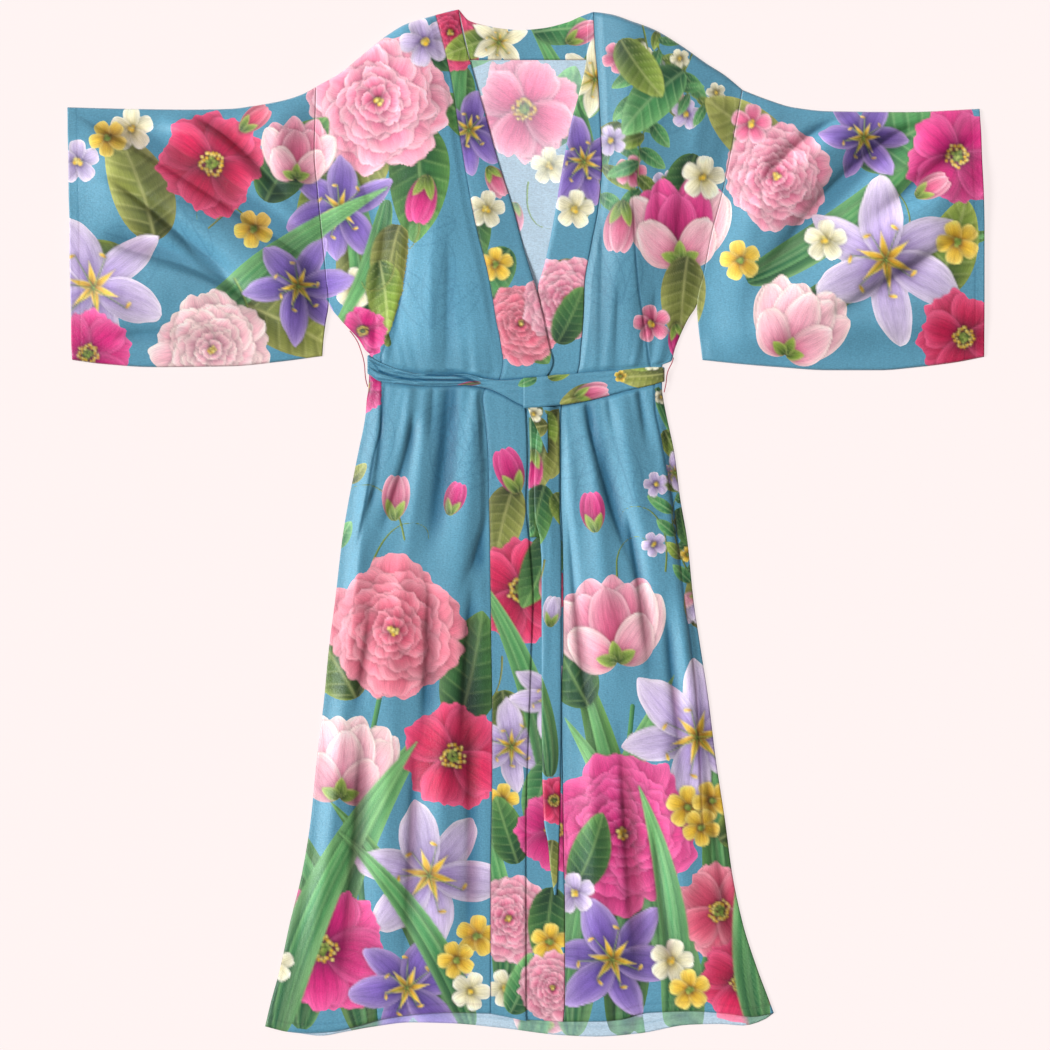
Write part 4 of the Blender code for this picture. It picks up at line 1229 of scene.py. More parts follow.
# The print of the fronts, back and sleeves, bottom layer first. Columns: motif, x, y, size, turn,
# dye, seed.
ROBE_PRINT = [
    ("ghost", -120, 900, 110, 80, "green", 1), ("ghost", 110, 760, 120, 250, "green", 2),
    ("ghost", -190, 720, 100, 120, "green", 3), ("ghost", 150, 1150, 90, 60, "green", 4),
    ("ghost", -470, 1000, 90, 200, "green", 5), ("ghost", 430, 1040, 100, 20, "green", 6),
    ("ghost", -100, 700, 90, 60, "green", 7), ("ghost", 120, 930, 90, 110, "green", 8),
    ("ghost", 165, 660, 90, 70, "green", 9), ("ghost", -150, 1010, 90, 60, "green", 10),
    ("ghost", 130, 1170, 80, 250, "green", 11), ("ghost", -440, 1060, 80, 300, "green", 12),
    ("ghost", 200, 780, 70, 300, "green", 13), ("ghost", -90, 800, 80, 250, "green", 14),
    # seen only on the back's wrong side, at the neck and the hem
    ("leaf", 22, 1130, 110, 60, "green", 17), ("leaf", -30, 1140, 100, 150, "deep", 18),
    ("anemone", -2, 1178, 66, 20, "rose", 19), ("blossom", 30, 1105, 24, 20, "cream", 20),
    ("tendril", 5, 1100, 120, 262, "moss", 21), ("bud", -14, 1060, 40, 268, "rose", 22),
    ("lotus", 20, 10, 70, 90, "rose", 23), ("blade", 0, -60, 300, 86, "green", 24),
    # skirt, viewer's left
    ("stem", -190, 0, 500, 88, "green", 1), ("stem", -120, 0, 260, 96, "moss", 2),
    ("blade", -285, 10, 430, 82, "green", 2), ("blade", -205, 0, 410, 100, "deep", 3),
    ("blade", -85, 0, 330, 103, "deep", 1),
    ("leaf", -215, 430, 150, 118, "moss", 14), ("leaf", -85, 395, 150, 74, "deep", 15),
    ("tendril", -150, 610, 170, 100, "moss", 1), ("tendril", -200, 590, 140, 66, "moss", 2),
    ("bud", -168, 655, 58, 84, "rose", 2), ("bud", -98, 662, 44, 70, "magenta", 1),
    ("peony", -168, 516, 88, 10, "coral", 5), ("lotus", -236, 304, 98, 84, "blush", 7),
    ("anemone", -92, 356, 66, 20, "crimson", 3), ("lily", -122, 205, 98, 48, "lilac", 2),
    ("anemone", -258, 112, 80, 40, "magenta", 6), ("lily", -150, 62, 78, 10, "violet", 7),
    ("blade", -318, 0, 400, 80, "green", 26), ("blade", -70, 10, 290, 108, "green", 27),
    ("blossom", -62, 128, 27, 12, "sun", 1), ("blossom", -88, 98, 24, 40, "sun", 2),
    ("blossom", -70, 58, 25, 70, "cream", 3), ("blossom", -318, 92, 24, 20, "cream", 4),
    # skirt, viewer's right
    ("stem", 150, 0, 420, 92, "green", 3), ("stem", 205, 0, 520, 86, "green", 4),
    ("blade", 60, 0, 460, 90, "green", 8), ("blade", 120, 0, 500, 82, "deep", 7),
    ("blade", 210, 0, 420, 96, "green", 9), ("blade", 292, 20, 380, 112, "deep", 10),
    ("leaf", 215, 520, 140, 60, "olive", 21), ("leaf", 80, 420, 130, 120, "deep", 22),
    ("leaf", 245, 250, 120, 30, "moss", 23),
    ("tendril", 175, 570, 170, 84, "moss", 3), ("tendril", 120, 560, 120, 100, "moss", 4),
    ("spray", 196, 545, 190, 84, "lilac", 5),
    ("lotus", 116, 476, 104, 102, "rose", 3), ("lily", 218, 380, 98, 75, "lilac", 4),
    ("peony", 122, 258, 96, 30, "magenta", 9), ("anemone", 246, 160, 60, 0, "coral", 8),
    ("lily", 110, 98, 86, 50, "violet", 11), ("anemone", 272, 70, 52, 20, "crimson", 9),
    ("blade", 185, 10, 300, 82, "green", 29), ("blade", 300, 0, 330, 104, "green", 30),
    ("leaf", 62, 190, 100, 60, "deep", 31),
    ("blossom", 205, 292, 27, 18, "sun", 11), ("blossom", 236, 300, 25, 44, "sun", 12),
    ("blossom", 222, 266, 24, 60, "sun", 13), ("blossom", 185, 96, 28, 5, "cream", 14),
    ("blossom", 208, 60, 26, 25, "sun", 15), ("bud", 88, 640, 52, 97, "magenta", 3),
    ("blossom", 62, 182, 26, 25, "lilac", 16),
    # bodice, viewer's left
    ("stem", -175, 880, 280, 96, "moss", 5), ("leaf", -180, 1140, 140, 228, "olive", 31),
    ("leaf", -140, 1160, 150, 278, "deep", 32), ("leaf", -240, 1110, 130, 255, "moss", 33),
    ("leaf", -130, 1240, 100, 20, "green", 34), ("leaf", -225, 1010, 110, 290, "olive", 35),
    ("blade", -205, 870, 300, 84, "green", 11), ("tendril", -205, 1060, 190, 262, "moss", 5),
    ("tendril", -150, 1090, 150, 290, "olive", 6), ("peony", -188, 1188, 88, 25, "rose", 12),
    ("lily", -236, 1050, 72, 15, "violet", 13), ("bud", -124, 1092, 62, 256, "magenta", 5),
    ("blossom", -218, 950, 26, 10, "cream", 21), ("anemone", -212, 892, 34, 50, "magenta", 22),
    ("blossom", -128, 1262, 32, 40, "lilac", 23),
    # bodice, viewer's right
    ("spray", 128, 1290, 240, 268, "rose", 7), ("spray", 190, 1265, 230, 262, "lilac", 8),
    ("spray", 160, 1290, 150, 300, "cream", 9),
    ("leaf", 200, 1225, 110, 215, "green", 41), ("leaf", 120, 1265, 90, 300, "moss", 42),
    ("leaf", 215, 1120, 100, 250, "deep", 45), ("stem", 190, 870, 220, 94, "moss", 6),
    ("lotus", 196, 985, 98, 92, "magenta", 5), ("bud", 124, 1060, 66, 262, "rose", 7),
    ("leaf", 205, 990, 110, 262, "olive", 43), ("blossom", 225, 1090, 28, 10, "cream", 24),
    ("blossom", 160, 905, 24, 30, "rose", 25), ("bud", 190, 905, 44, 280, "magenta", 8),
    # sleeve, viewer's left
    ("leaf", -470, 1010, 150, 100, "olive", 51), ("leaf", -500, 985, 140, 190, "moss", 52),
    ("leaf", -330, 1060, 130, 65, "deep", 53), ("leaf", -360, 930, 140, -20, "olive", 54),
    ("blade", -440, 860, 330, 55, "green", 14),
    ("tendril", -420, 1010, 190, 40, "olive", 7),
    ("tendril", -380, 980, 170, 300, "moss", 8), ("tendril", -330, 1000, 150, 120, "moss", 9),
    ("anemone", -398, 1108, 66, 15, "crimson", 14), ("lily", -548, 950, 98, 40, "lilac", 15),
    ("peony", -398, 872, 70, 78, "blush", 7), ("lotus", -292, 1090, 70, 84, "rose", 16),
    ("anemone", -556, 866, 56, 0, "magenta", 17), ("lily", -288, 952, 68, 70, "violet", 18),
    ("blossom", -500, 1152, 28, 20, "cream", 31), ("blossom", -345, 1025, 25, 45, "sun", 32),
    ("bud", -362, 1150, 46, 40, "coral", 9),
    ("blossom", -568, 1110, 28, 20, "lilac", 34), ("blossom", -530, 1140, 24, 50, "sun", 35),
    # sleeve, viewer's right
    ("blade", 280, 960, 360, 24, "green", 15), ("blade", 300, 880, 340, 40, "deep", 16),
    ("leaf", 420, 1110, 150, 30, "green", 61),
    ("leaf", 520, 940, 130, 70, "moss", 62), ("leaf", 330, 1110, 130, 140, "olive", 63),
    ("tendril", 380, 1010, 200, 20, "olive", 10),
    ("tendril", 480, 980, 160, 80, "moss", 11), ("peony", 318, 1092, 66, 10, "rose", 19),
    ("lily", 456, 985, 106, 40, "lilac", 20), ("anemone", 548, 1118, 64, 10, "magenta", 21),
    ("lotus", 330, 866, 90, 66, "blush", 9), ("anemone", 556, 888, 58, 30, "crimson", 22),
    ("lily", 428, 1140, 58, 5, "violet", 23), ("blossom", 380, 1010, 27, 15, "cream", 35),
    ("blossom", 548, 1008, 28, 40, "sun", 36),
    ("bud", 494, 1066, 48, 30, "rose", 10), ("blossom", 286, 1158, 26, 10, "rose", 38),
    ("blossom", 272, 985, 26, 30, "sun", 39),
]

# What the print shows past the fronts' pleats, where it breaks off. Columns and places as above.
PLEAT_PRINT = [
    ("blade", -176, 1062, 190, 262, "green", 30), ("leaf", -160, 1030, 104, 252, "olive", 31),
    ("leaf", -186, 985, 92, 284, "moss", 32), ("anemone", -207, 896, 30, 20, "magenta", 33),
    ("tendril", -164, 1010, 110, 268, "olive", 36), ("anemone", -206, 826, 34, 70, "magenta", 34),
    ("leaf", -226, 704, 34, 40, "olive", 37), ("leaf", -242, 620, 40, 60, "green", 38),
    ("blade", 166, 824, 130, 286, "green", 39), ("blossom", 172, 812, 9, 0, "cream", 35),
    ("leaf", 176, 770, 46, 292, "moss", 40), ("lily", 190, 716, 26, 100, "lilac", 41),
    ("leaf", 196, 672, 50, 276, "deep", 42), ("blossom", 206, 612, 10, 30, "sun", 43),
    ("lotus", 216, 560, 34, 262, "lilac", 44),
]

# The print of the neck band, in the same columns and places.
BAND_PRINT = [
    ("ghost", -70, 1180, 80, 260, "green", 15), ("ghost", 60, 1140, 80, 280, "green", 16),
    ("ghost", -25, 740, 70, 260, "green", 17), ("ghost", -30, 620, 60, 80, "green", 18),
    ("leaf", -95, 1240, 100, 280, "deep", 71), ("blade", -85, 1090, 240, 100, "green", 18),
    ("leaf", -60, 1060, 110, 250, "deep", 72), ("leaf", -20, 1000, 100, 235, "green", 73),
    ("leaf", -40, 940, 110, 300, "deep", 74), ("leaf", -10, 915, 90, 200, "moss", 75),
    ("peony", -96, 1275, 52, 10, "crimson", 31), ("lily", -72, 1150, 56, 20, "violet", 32),
    ("bud", -48, 1105, 44, 300, "rose", 33), ("blossom", -50, 1050, 24, 10, "cream", 34),
    ("peony", -6, 905, 52, 20, "coral", 35), ("blossom", -38, 980, 22, 20, "sun", 36),
    ("leaf", -15, 700, 100, 250, "olive", 76), ("bud", -10, 690, 60, 110, "magenta", 37),
    ("anemone", -8, 568, 66, 20, "crimson", 38), ("tendril", -30, 500, 140, 270, "olive", 20),
    ("leaf", -30, 440, 100, 280, "moss", 77), ("lily", -18, 368, 62, 30, "lilac", 39),
    ("blossom", -30, 300, 22, 10, "sun", 40), ("blade", -30, 60, 260, 84, "green", 19),
    ("leaf", -10, 220, 90, 110, "deep", 78), ("peony", -22, 150, 54, 10, "rose", 41),
    ("blossom", -26, 62, 24, 40, "cream", 42), ("leaf", -20, 30, 80, 60, "green", 79),
    ("blade", 80, 1090, 220, 96, "green", 21), ("leaf", 95, 1255, 90, 262, "green", 81),
    ("leaf", 80, 1130, 100, 250, "olive", 82), ("leaf", 62, 985, 90, 235, "moss", 83),
    ("lily", 88, 1215, 50, 20, "cream", 43), ("lily", 74, 1110, 58, 44, "violet", 44),
    ("blossom", 62, 1050, 25, 10, "cream", 45), ("peony", 52, 935, 56, 10, "rose", 46),
    ("leaf", 40, 880, 80, 60, "deep", 84), ("leaf", 32, 640, 100, 260, "deep", 85),
    ("bud", 35, 600, 46, 262, "coral", 47), ("blade", 30, 320, 280, 94, "green", 23),
    ("lily", 34, 430, 56, 12, "lilac", 48), ("leaf", 32, 350, 90, 250, "green", 86),
    ("anemone", 36, 262, 50, 10, "magenta", 49), ("leaf", 34, 190, 100, 262, "deep", 87),
    ("blossom", 30, 120, 24, 10, "sun", 50), ("peony", 34, 62, 44, 10, "rose", 51),
    ("leaf", 10, 1275, 80, 10, "green", 88), ("leaf", -40, 1270, 70, 200, "moss", 89),
    ("lily", -34, 1262, 38, 20, "cream", 52), ("bud", 52, 1262, 44, 30, "rose", 53),
]

# The print of the belt, in the same columns and places.
BELT_PRINT = [
    ("leaf", 28, 836, 30, 20, "moss", 91), ("leaf", 14, 836, 26, 200, "green", 92),
    ("leaf", 96, 818, 54, 184, "olive", 93), ("bud", 62, 812, 44, 12, "rose", 61),
    ("leaf", 178, 842, 62, 190, "olive", 94), ("blossom", 120, 838, 8, 10, "sun", 62),
    ("blade", -57, 829.5, 44, 178, "magenta", 63),
    ("leaf", 43, 797, 90, 262, "olive", 95), ("leaf", 24, 795, 60, 276, "moss", 94),
    ("leaf", 30, 760, 70, 250, "olive", 96), ("leaf", 6, 786, 60, 268, "green", 97),
    ("leaf", 172, 862, 46, 196, "moss", 90), ("blossom", 160, 856, 11, 20, "cream", 60),
    ("bud", 10, 745, 50, 262, "magenta", 64), ("leaf", 24, 700, 80, 250, "deep", 98),
    ("leaf", 36, 690, 60, 300, "moss", 99), ("tendril", 26, 620, 120, 262, "olive", 24),
    ("leaf", 10, 650, 34, 230, "green", 65), ("blade", 30, 330, 240, 92, "deep", 25),
    ("bud", 30, 520, 40, 80, "lilac", 66), ("anemone", 36, 300, 30, 10, "crimson", 67),
    ("leaf", 34, 250, 70, 262, "olive", 68),
]


def printed(grid, seam_and_shade, layout=ROBE_PRINT, shift=(0.0, 0.0), outside=None, painted_light_level=0.0):
    """The attributes of a print on a grid of plan points, moved by the piece's own shift.

    Past a pleat, where the points are outside, more motifs lie over the others.
    """
    canvas = Canvas(grid[:, :, 0] + shift[0], grid[:, :, 1] + shift[1])
    layers = [(layout, True)]
    if outside is not None:
        layers.append((PLEAT_PRINT, outside.ravel()))
    for motifs, allowed in layers:
        for kind, x, y, size, turn, dye, seed in motifs:
            if canvas.look_at(x, y, size * REACH + 12, allowed):
                MOTIFS[kind](canvas, x, y, size, turn, dye, seed)
    flat = np.ones((canvas.x.size, 1))
    return {
        "print": ("FLOAT_COLOR", np.hstack([np.clip(canvas.colour, 0, 1), flat])),
        "brush": ("FLOAT_VECTOR", np.hstack([canvas.brush, canvas.line[:, None]])),
        "cover": ("FLOAT", np.clip(canvas.edge, -20, 20)[:, None]),
        # Dark seam lines with painted shade, then painted light and shade from the folds' slopes.
        "seam": ("FLOAT", seam_and_shade.reshape(-1, 1)),
        "painted_light": ("FLOAT", flat * np.reshape(painted_light_level, (-1, 1))),
    }


class Wire:
    """A node's output that can stand in a sum."""

    def __init__(self, shader, socket):
        self.shader = shader
        self.socket = socket

    def __add__(self, other):
        return self.shader.math("ADD", self, other)

    def __radd__(self, other):
        return self.shader.math("ADD", other, self)

    def __sub__(self, other):
        return self.shader.math("SUBTRACT", self, other)

    def __mul__(self, other):
        return self.shader.math("MULTIPLY", self, other)

    def __rmul__(self, other):
        return self.shader.math("MULTIPLY", other, self)


class Shader:
    """A new material whose nodes are made from sums of wires."""

    def __init__(self, name, **surface):
        self.material = bpy.data.materials.new(name)
        self.material.use_nodes = True
        self.tree = self.material.node_tree
        for key, value in surface.items():
            self.surface(key, value)

    def feed(self, socket, value):
        if isinstance(value, Wire):
            self.tree.links.new(value.socket, socket)
        elif socket.type == "RGBA":
            socket.default_value = (*value[:3], 1.0)
        else:
            socket.default_value = value

    def surface(self, key, value):
        """Sets or links one input of the material's surface."""
        self.feed(self.tree.nodes["Principled BSDF"].inputs[key.replace("_", " ")], value)

    def node(self, kind, output, settings=None, inputs=None):
        """Adds a node: first its settings, then the values or wires of its inputs."""
        made = self.tree.nodes.new(kind)
        for key, value in (settings or {}).items():
            setattr(made, key, value)
        for key, value in (inputs or {}).items():
            self.feed(made.inputs[key], value)
        return Wire(self, made.outputs[output])

    def math(self, operation, *values):
        return self.node("ShaderNodeMath", 0, {"operation": operation}, dict(enumerate(values)))

    def between(self, value, low, high):
        """A soft step from 0 at low to 1 at high."""
        settings = {"interpolation_type": "SMOOTHSTEP"}
        return self.node("ShaderNodeMapRange", 0, settings, {0: value, 1: low, 2: high})

    def mix(self, share, first, second, blend="MIX"):
        """A colour between two colours."""
        settings = {"data_type": "RGBA", "blend_type": blend}
        return self.node("ShaderNodeMix", 2, settings, {0: share, 6: first, 7: second})

    def tint(self, colour, amount):
        """A colour made lighter or darker by a factor."""
        return self.node("ShaderNodeVectorMath", 0, {"operation": "SCALE"}, {0: colour, "Scale": amount})

    def attribute(self, name, output="Fac"):
        return self.node("ShaderNodeAttribute", output, {"attribute_name": name})

    def part(self, vector, axis):
        return self.node("ShaderNodeSeparateXYZ", axis, None, {0: vector})

    def noise(self, vector, stretch, detail=2.0, roughness=0.5):
        """Noise of grain 1 / stretch along each axis, from 0 to 1."""
        moved = self.node("ShaderNodeMapping", 0, None, {0: vector, "Scale": stretch})
        inputs = {"Vector": moved, "Scale": 1.0, "Detail": detail, "Roughness": roughness}
        return self.node("ShaderNodeTexNoise", "Fac", None, inputs)

    def bump(self, height, depth, strength=1.0):
        """Bends the surface's normal by a height from 0 to 1 that stands for a depth in metres."""
        inputs = {"Strength": strength, "Distance": depth, "Height": height}
        self.surface("Normal", self.node("ShaderNodeBump", 0, None, inputs))


def satin(name, ground, print_share, sheen, ink_gain=1.0):
    """Printed satin: the painted motifs over the ground, with the weave's small unevenness, dark seam lines,
    and painted light and shade on its folds, creases and under the belt.
    """
    shader = Shader(name, Sheen_Weight=sheen, Sheen_Roughness=0.35, Specular_IOR_Level=0.6)
    shader.surface("Specular Tint", HIGHLIGHT)
    position = shader.node("ShaderNodeTexCoord", "Object")
    edge = shader.attribute("cover")
    brush = shader.attribute("brush", "Vector")
    across, along, line = (shader.part(brush, axis) for axis in "XYZ")
    fray = shader.noise(position, FRAY)
    cover = shader.between(edge + 0.7 * fray, 0.05, 0.75)
    slub = shader.noise(position, SLUB, 3)
    cloud = shader.noise(position, CLOUD, 2)
    crepe = shader.noise(position, CREPE, 3, 0.6)
    cloth = shader.tint(ground, 0.44 + 0.16 * slub + 0.18 * cloud + 0.76 * crepe)
    cloth = shader.mix(line * 0.42, cloth, DRAWN_LINE)
    strokes = shader.node("ShaderNodeCombineXYZ", 0, None, {0: across, 1: along, 2: 0.0})
    streak = shader.noise(strokes, STREAK, 3, 0.6)
    wash = shader.noise(strokes, WASH, 2)
    depth = 0.40 + 0.66 * streak + 0.26 * wash + 0.20 * crepe
    ink = shader.tint(shader.attribute("print", "Color"), ink_gain * depth)
    colour = shader.mix(cover * print_share, cloth, ink)
    # Painted light and shade from the folds' slopes.
    colour = shader.tint(colour, 1 + PAINTED_LIGHT_GAIN * shader.attribute("painted_light"))
    # The seam attribute darkens the seam lines and carries the painted shade of troughs, creases and the line
    # under the belt.
    seam = shader.attribute("seam")
    deep = shader.mix(cover * print_share, SEAM_AND_SHADE_ON_GROUND, SEAM_AND_SHADE_ON_PRINT)
    shader.surface("Base Color", shader.mix(seam, colour, deep, "MULTIPLY"))
    shader.surface("Roughness", 0.38 + 0.14 * slub)
    shader.bump(crepe + 0.3 * slub - 0.9 * seam, 0.0006, 0.8)
    return shader.material


def thread(name, colour):
    """Twisted thread."""
    shader = Shader(name, Roughness=0.7, Sheen_Weight=0.3)
    position = shader.node("ShaderNodeTexCoord", "Object")
    ply = shader.noise(position, PLY, 2)
    shader.surface("Base Color", shader.tint(colour, 0.6 + 0.8 * ply))
    shader.bump(ply, 0.0004, 0.6)
    return shader.material


def light_table(name, colour, glow):
    """A floor that is partly lit from below, so that shadows on it stay faint."""
    shader = Shader(name, Roughness=0.9, Emission_Color=colour, Emission_Strength=1.01 * glow)
    shader.surface("Base Color", [(1 - glow) * part for part in colour])
    return shader.material


def robe_material(name):
    """One of the robe's materials, made from the panel's settings when first asked for."""
    made = bpy.data.materials.get("robe " + name)
    if made:
        return made
    settings = bpy.context.scene.robe
    if name == "printed side":
        return satin("robe " + name, settings.ground, 1.0, settings.sheen)
    if name == "wrong side":
        return satin("robe " + name, settings.wrong_side, 0.72, settings.sheen * 0.5, 1.45)
    if name == "thread":
        return thread("robe " + name, settings.thread)
    return light_table("robe " + name, settings.floor, FLOOR_GLOW)


def place(obj, node):
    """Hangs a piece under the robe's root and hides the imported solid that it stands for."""
    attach(obj, "root")
    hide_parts(node)
    return obj


def make_front(name, sections, folds, pleat, shoulder, hem, lift, lean, seed):
    """One front panel, from its side seam to the band seam."""
    settings = bpy.context.scene.robe
    step = settings.mesh_step / MM
    table, down = fine_rows(sections, [0, 1, 2, 3], step)
    seam = table[:, 2:4].copy()
    seam[:, 0] += SEAM_GAP / 2 * np.sign(table[0, 0])
    shares = np.linspace(0, 1, int(FRONT_ACROSS / step) + 1)
    grid = plan_grid(table[:, :2], seam, shares, down, shoulder, hem)
    x, y = grid[:, :, 0], grid[:, :, 1]
    top, trough_shade, painted_light_level = front_top(grid, shares, folds, lift, seed, settings.fold_strength)
    beyond, strength = across_pleat(pleat, grid)
    pleat_dip_and_shade = strength * bell(beyond, PLEAT_LINE)
    seam_and_shade = marks(grid, {"near": 0.2, "far": 0.6}, ("foot",))
    # The pleat's line is a real dip with painted shade in it; the troughs and the dark line under the belt
    # are painted shade.
    top = top - 0.2 * seam_and_shade - 0.4 * pleat_dip_and_shade
    seam_and_shade = seam_and_shade + 0.65 * pleat_dip_and_shade + 0.85 * trough_shade + belt_shade(x, y)
    # Painted light and shade from the folds' slopes, and a broad painted light or shade on each bodice.
    painted_light_level = FRONT_PAINTED_LIGHT * painted_light_level + lean * ramp(y, BELT_MID_Y, BELT_MID_Y + PAINTED_LEAN_FADE)
    look = printed(grid, seam_and_shade, outside=beyond > 0, painted_light_level=painted_light_level)
    obj = shell(name, tall(grid, top), tall(grid, beneath(top, SHELL)), look, inside="wrong side")
    return place(obj, name)


def make_band(name, sections, lift, seed):
    """The front stretch of the neck band: cloth folded double, from its seam to its free edge."""
    step = bpy.context.scene.robe.mesh_step / MM * 0.85
    table, down = fine_rows(sections, [2, 3, 4, 5], step)
    way_out = np.sign(sections[0][0])
    seam = table[:, :2].copy()
    seam[:, 0] += SEAM_LIP * way_out
    shares = np.concatenate([[0.0, 0.014, 0.028], np.linspace(0.05, 1, 28)])
    grid = plan_grid(seam, table[:, 2:4], shares, down)
    x, y = grid[:, :, 0], grid[:, :, 1]
    share = shares[None, :] + 0 * x

    low = FRONT_LEVEL + lift + ARMHOLE_LIFT * ramp(y, *ARMHOLE_START)
    low = low + bump(belt_distance(x, y), FRONT_BUMP) - 0.2 * lift * ramp(share, 0.35, 1)
    above_back = 1.0
    if lift:
        low = low + (BACK_TOP + 0.5 - low) * ramp(y, *BAND_CROSSING) * ramp(share, 0.25, 1)
        above_back = ramp(way_out * x, 8, 16)
    low = low - (low - BACK_TOP - 0.2) * (1 - border_roll(grid, near=False)) * above_back

    loose = ramp(np.abs(beyond_belt(x, y)), 0, 12) * between_ends(share, 0.12, 0.10)
    thin = rounding(1 - share, 10)
    crown = 0.6 * rounding(share, 14) * thin
    lie = 0.5 * soft_lie(x, y, seed) + 0.35 * gathers(x, y, seed + 3)
    top = low + (BAND - 0.6) * (0.55 + 0.45 * thin) + crown + loose * lie
    inner = np.where(share < 0.02, low + CLOTH + 0.1, np.minimum(low, top - 0.8))
    top = np.maximum(top, inner + 0.35)
    # Seam lines, and the painted shadow under the belt.
    look = printed(grid, marks(grid, {"near": 0.65}) + belt_shade(x, y), BAND_PRINT)
    return place(shell(name, tall(grid, top), tall(grid, inner), look), name)


def make_neck_band():
    """The stretch of the band across the back of the neck, inner face up."""
    shares = np.linspace(0, 1, 101)
    down = np.linspace(0, 1, 33)
    top_x = np.interp(shares, [0, 1], [NECK_TOP[0][0], NECK_TOP[-1][0]])
    foot_x = np.interp(shares, [0, 1], [NECK_SEAM_LEFT_X, NECK_SEAM_RIGHT_X])
    top = np.column_stack([top_x, curve_y(NECK_TOP, top_x)])
    foot = np.column_stack([foot_x, np.full_like(foot_x, NECK_SEAM_Y)])
    grid = top[None, :, :] * (1 - down[:, None, None]) + foot[None, :, :] * down[:, None, None]
    x, y = grid[:, :, 0], grid[:, :, 1]
    crown = crowned(down[:, None] + 0 * x, 8)
    height = 0.7 + 0.9 * crown + 0.12 * soft_lie(x, y, 61) * crown
    look = printed(grid, marks(grid, {"foot": 0.6}), BAND_PRINT)
    return place(shell("neck_band", tall(grid, height), tall(grid, 0 * height), look), "neck_band")


def make_back():
    """The back panel, wrong side up, flat on the floor with a notch for the neck band."""
    sections = [(*left[:2], *right[:2]) for left, right in zip(LEFT_SECTIONS, RIGHT_SECTIONS)]
    table, down = fine_rows(sections, [0, 1, 2, 3], BACK_STEP)
    number = np.arange(len(table))
    shown = (table[:, 1] < BACK_HIDDEN[0]) | (table[:, 1] > BACK_HIDDEN[1])
    kept = shown | (number % 3 == 0) | (number == number[-1])
    table, down = table[kept], down[kept]
    notch = [
        (NECK_TOP[0][0] - SEAM_GAP, NECK_TOP[0][1]),
        (NECK_SEAM_LEFT_X - SEAM_GAP, NECK_SEAM_Y - SEAM_GAP),
        (NECK_SEAM_RIGHT_X + SEAM_GAP, NECK_SEAM_Y - SEAM_GAP),
        (NECK_TOP[-1][0] + SEAM_GAP, NECK_TOP[-1][1]),
    ]
    top = SHOULDER_LEFT + notch + SHOULDER_RIGHT[:-1]
    start, end = table[0, 0], table[0, 2]
    corners = [(x - start) / (end - start) for x, _ in notch]
    stretches = ((0, corners[0], 24), (corners[1], corners[2], 70), (corners[3], 1, 24))
    shares = np.concatenate([np.linspace(*stretch) for stretch in stretches])
    grid = plan_grid(table[:, :2], table[:, 2:], shares, down, top, HEM_BACK)
    x, y = grid[:, :, 0], grid[:, :, 1]
    low = bump(belt_distance(x, y), BACK_BUMP)
    seen = ramp(y, *NECK_FROM) * ramp(y, *NECK_TO) * ramp(np.abs(x), *NECK_ACROSS)
    height = low + BACK_TOP + seen * (0.15 * soft_lie(x, y, 71) + 0.2)
    look = printed(grid, marks(grid, {"near": 0.4, "far": 0.4}, ("foot",)))
    obj = shell("back", tall(grid, height), tall(grid, low), look, face="wrong side", coarse=1)
    return place(obj, "back")


def make_sleeve(name, sections, folds, top, foot, seed):
    """One sleeve: a flattened tube, closed along its top fold and its foot, open at both ends."""
    settings = bpy.context.scene.robe
    step = settings.mesh_step / MM * 0.9
    table, down = fine_rows(sections, [0, 1, 2, 3], step)
    table[:, 2] += SEAM_GAP * np.sign(table[0, 2])
    shares = np.linspace(0, 1, int(SLEEVE_ACROSS / step) + 1)
    grid = plan_grid(table[:, :2], table[:, 2:4], shares, down, top, foot)
    x, y = grid[:, :, 0], grid[:, :, 1]
    travel = (down / down[-1])[:, None] + 0 * x
    share = shares[None, :] + 0 * x

    free = between_ends(travel, 0.12, 0.16) * ramp(share, 1, 0.84)
    free = free * (0.45 + 0.55 * ramp(share, 0, 0.2))
    loose = between_ends(travel, 0.06, 0.06) * between_ends(share, 0.05, 0.05)
    kept = SLEEVE_FOLDS * fold_relief(folds, x, y)
    relief = free * settled(SLEEVE_PUFF, FOLD_GAIN * settings.fold_strength * kept)
    seam_and_shade = marks(grid, {"far": 0.2}, ("near",))
    height = FRONT_LEVEL + CLOTH + ARMHOLE_LIFT * ramp(travel, 1, 0.7) * smooth(share) + relief
    height = height + settings.fold_strength * loose * 0.7 * soft_lie(x, y, seed) - 0.4 * seam_and_shade
    droop = ramp(share, 0.96, 1) * ramp(y, *SLEEVE_DROOP)
    height = height + (1.6 - height) * droop
    roll = rounded_edge(np.minimum(travel, 1 - travel) * down[-1], CUFF_ROUND)
    height = SLEEVE_MIDDLE + (height - SLEEVE_MIDDLE) * roll

    from_top, from_foot = travel * down[-1] / CUFF_ROUND, (1 - travel) * down[-1] / CUFF_ROUND
    tuck = np.zeros_like(grid)
    tuck[:, :, 1] = SHELL * (np.clip(1 - from_foot, 0, 1) - np.clip(1 - from_top, 0, 1))
    inner_height = np.maximum(beneath(height, 0.3), SHELL + 0.1)
    inner_height = np.where(roll < 0.05, SLEEVE_MIDDLE, inner_height)
    behind = list(range(len(grid) - 3, 1, -6))
    flat = 0 * height[behind]
    outer = np.vstack([tall(grid, height), tall(grid[behind], flat)])
    inner = np.vstack([tall(grid + tuck, inner_height), tall(grid[behind], flat + SHELL)])
    # Painted shade in the deep troughs.
    seam_and_shade = seam_and_shade + 0.45 * free * ramp(kept, 0, -9)
    both = [np.vstack([part, part[behind]]) for part in (grid, seam_and_shade, painted_light(grid, relief))]
    obj = shell(name, outer, inner, printed(both[0], both[1], painted_light_level=both[2]), inside="wrong side", wrap=True)
    return place(obj, name)


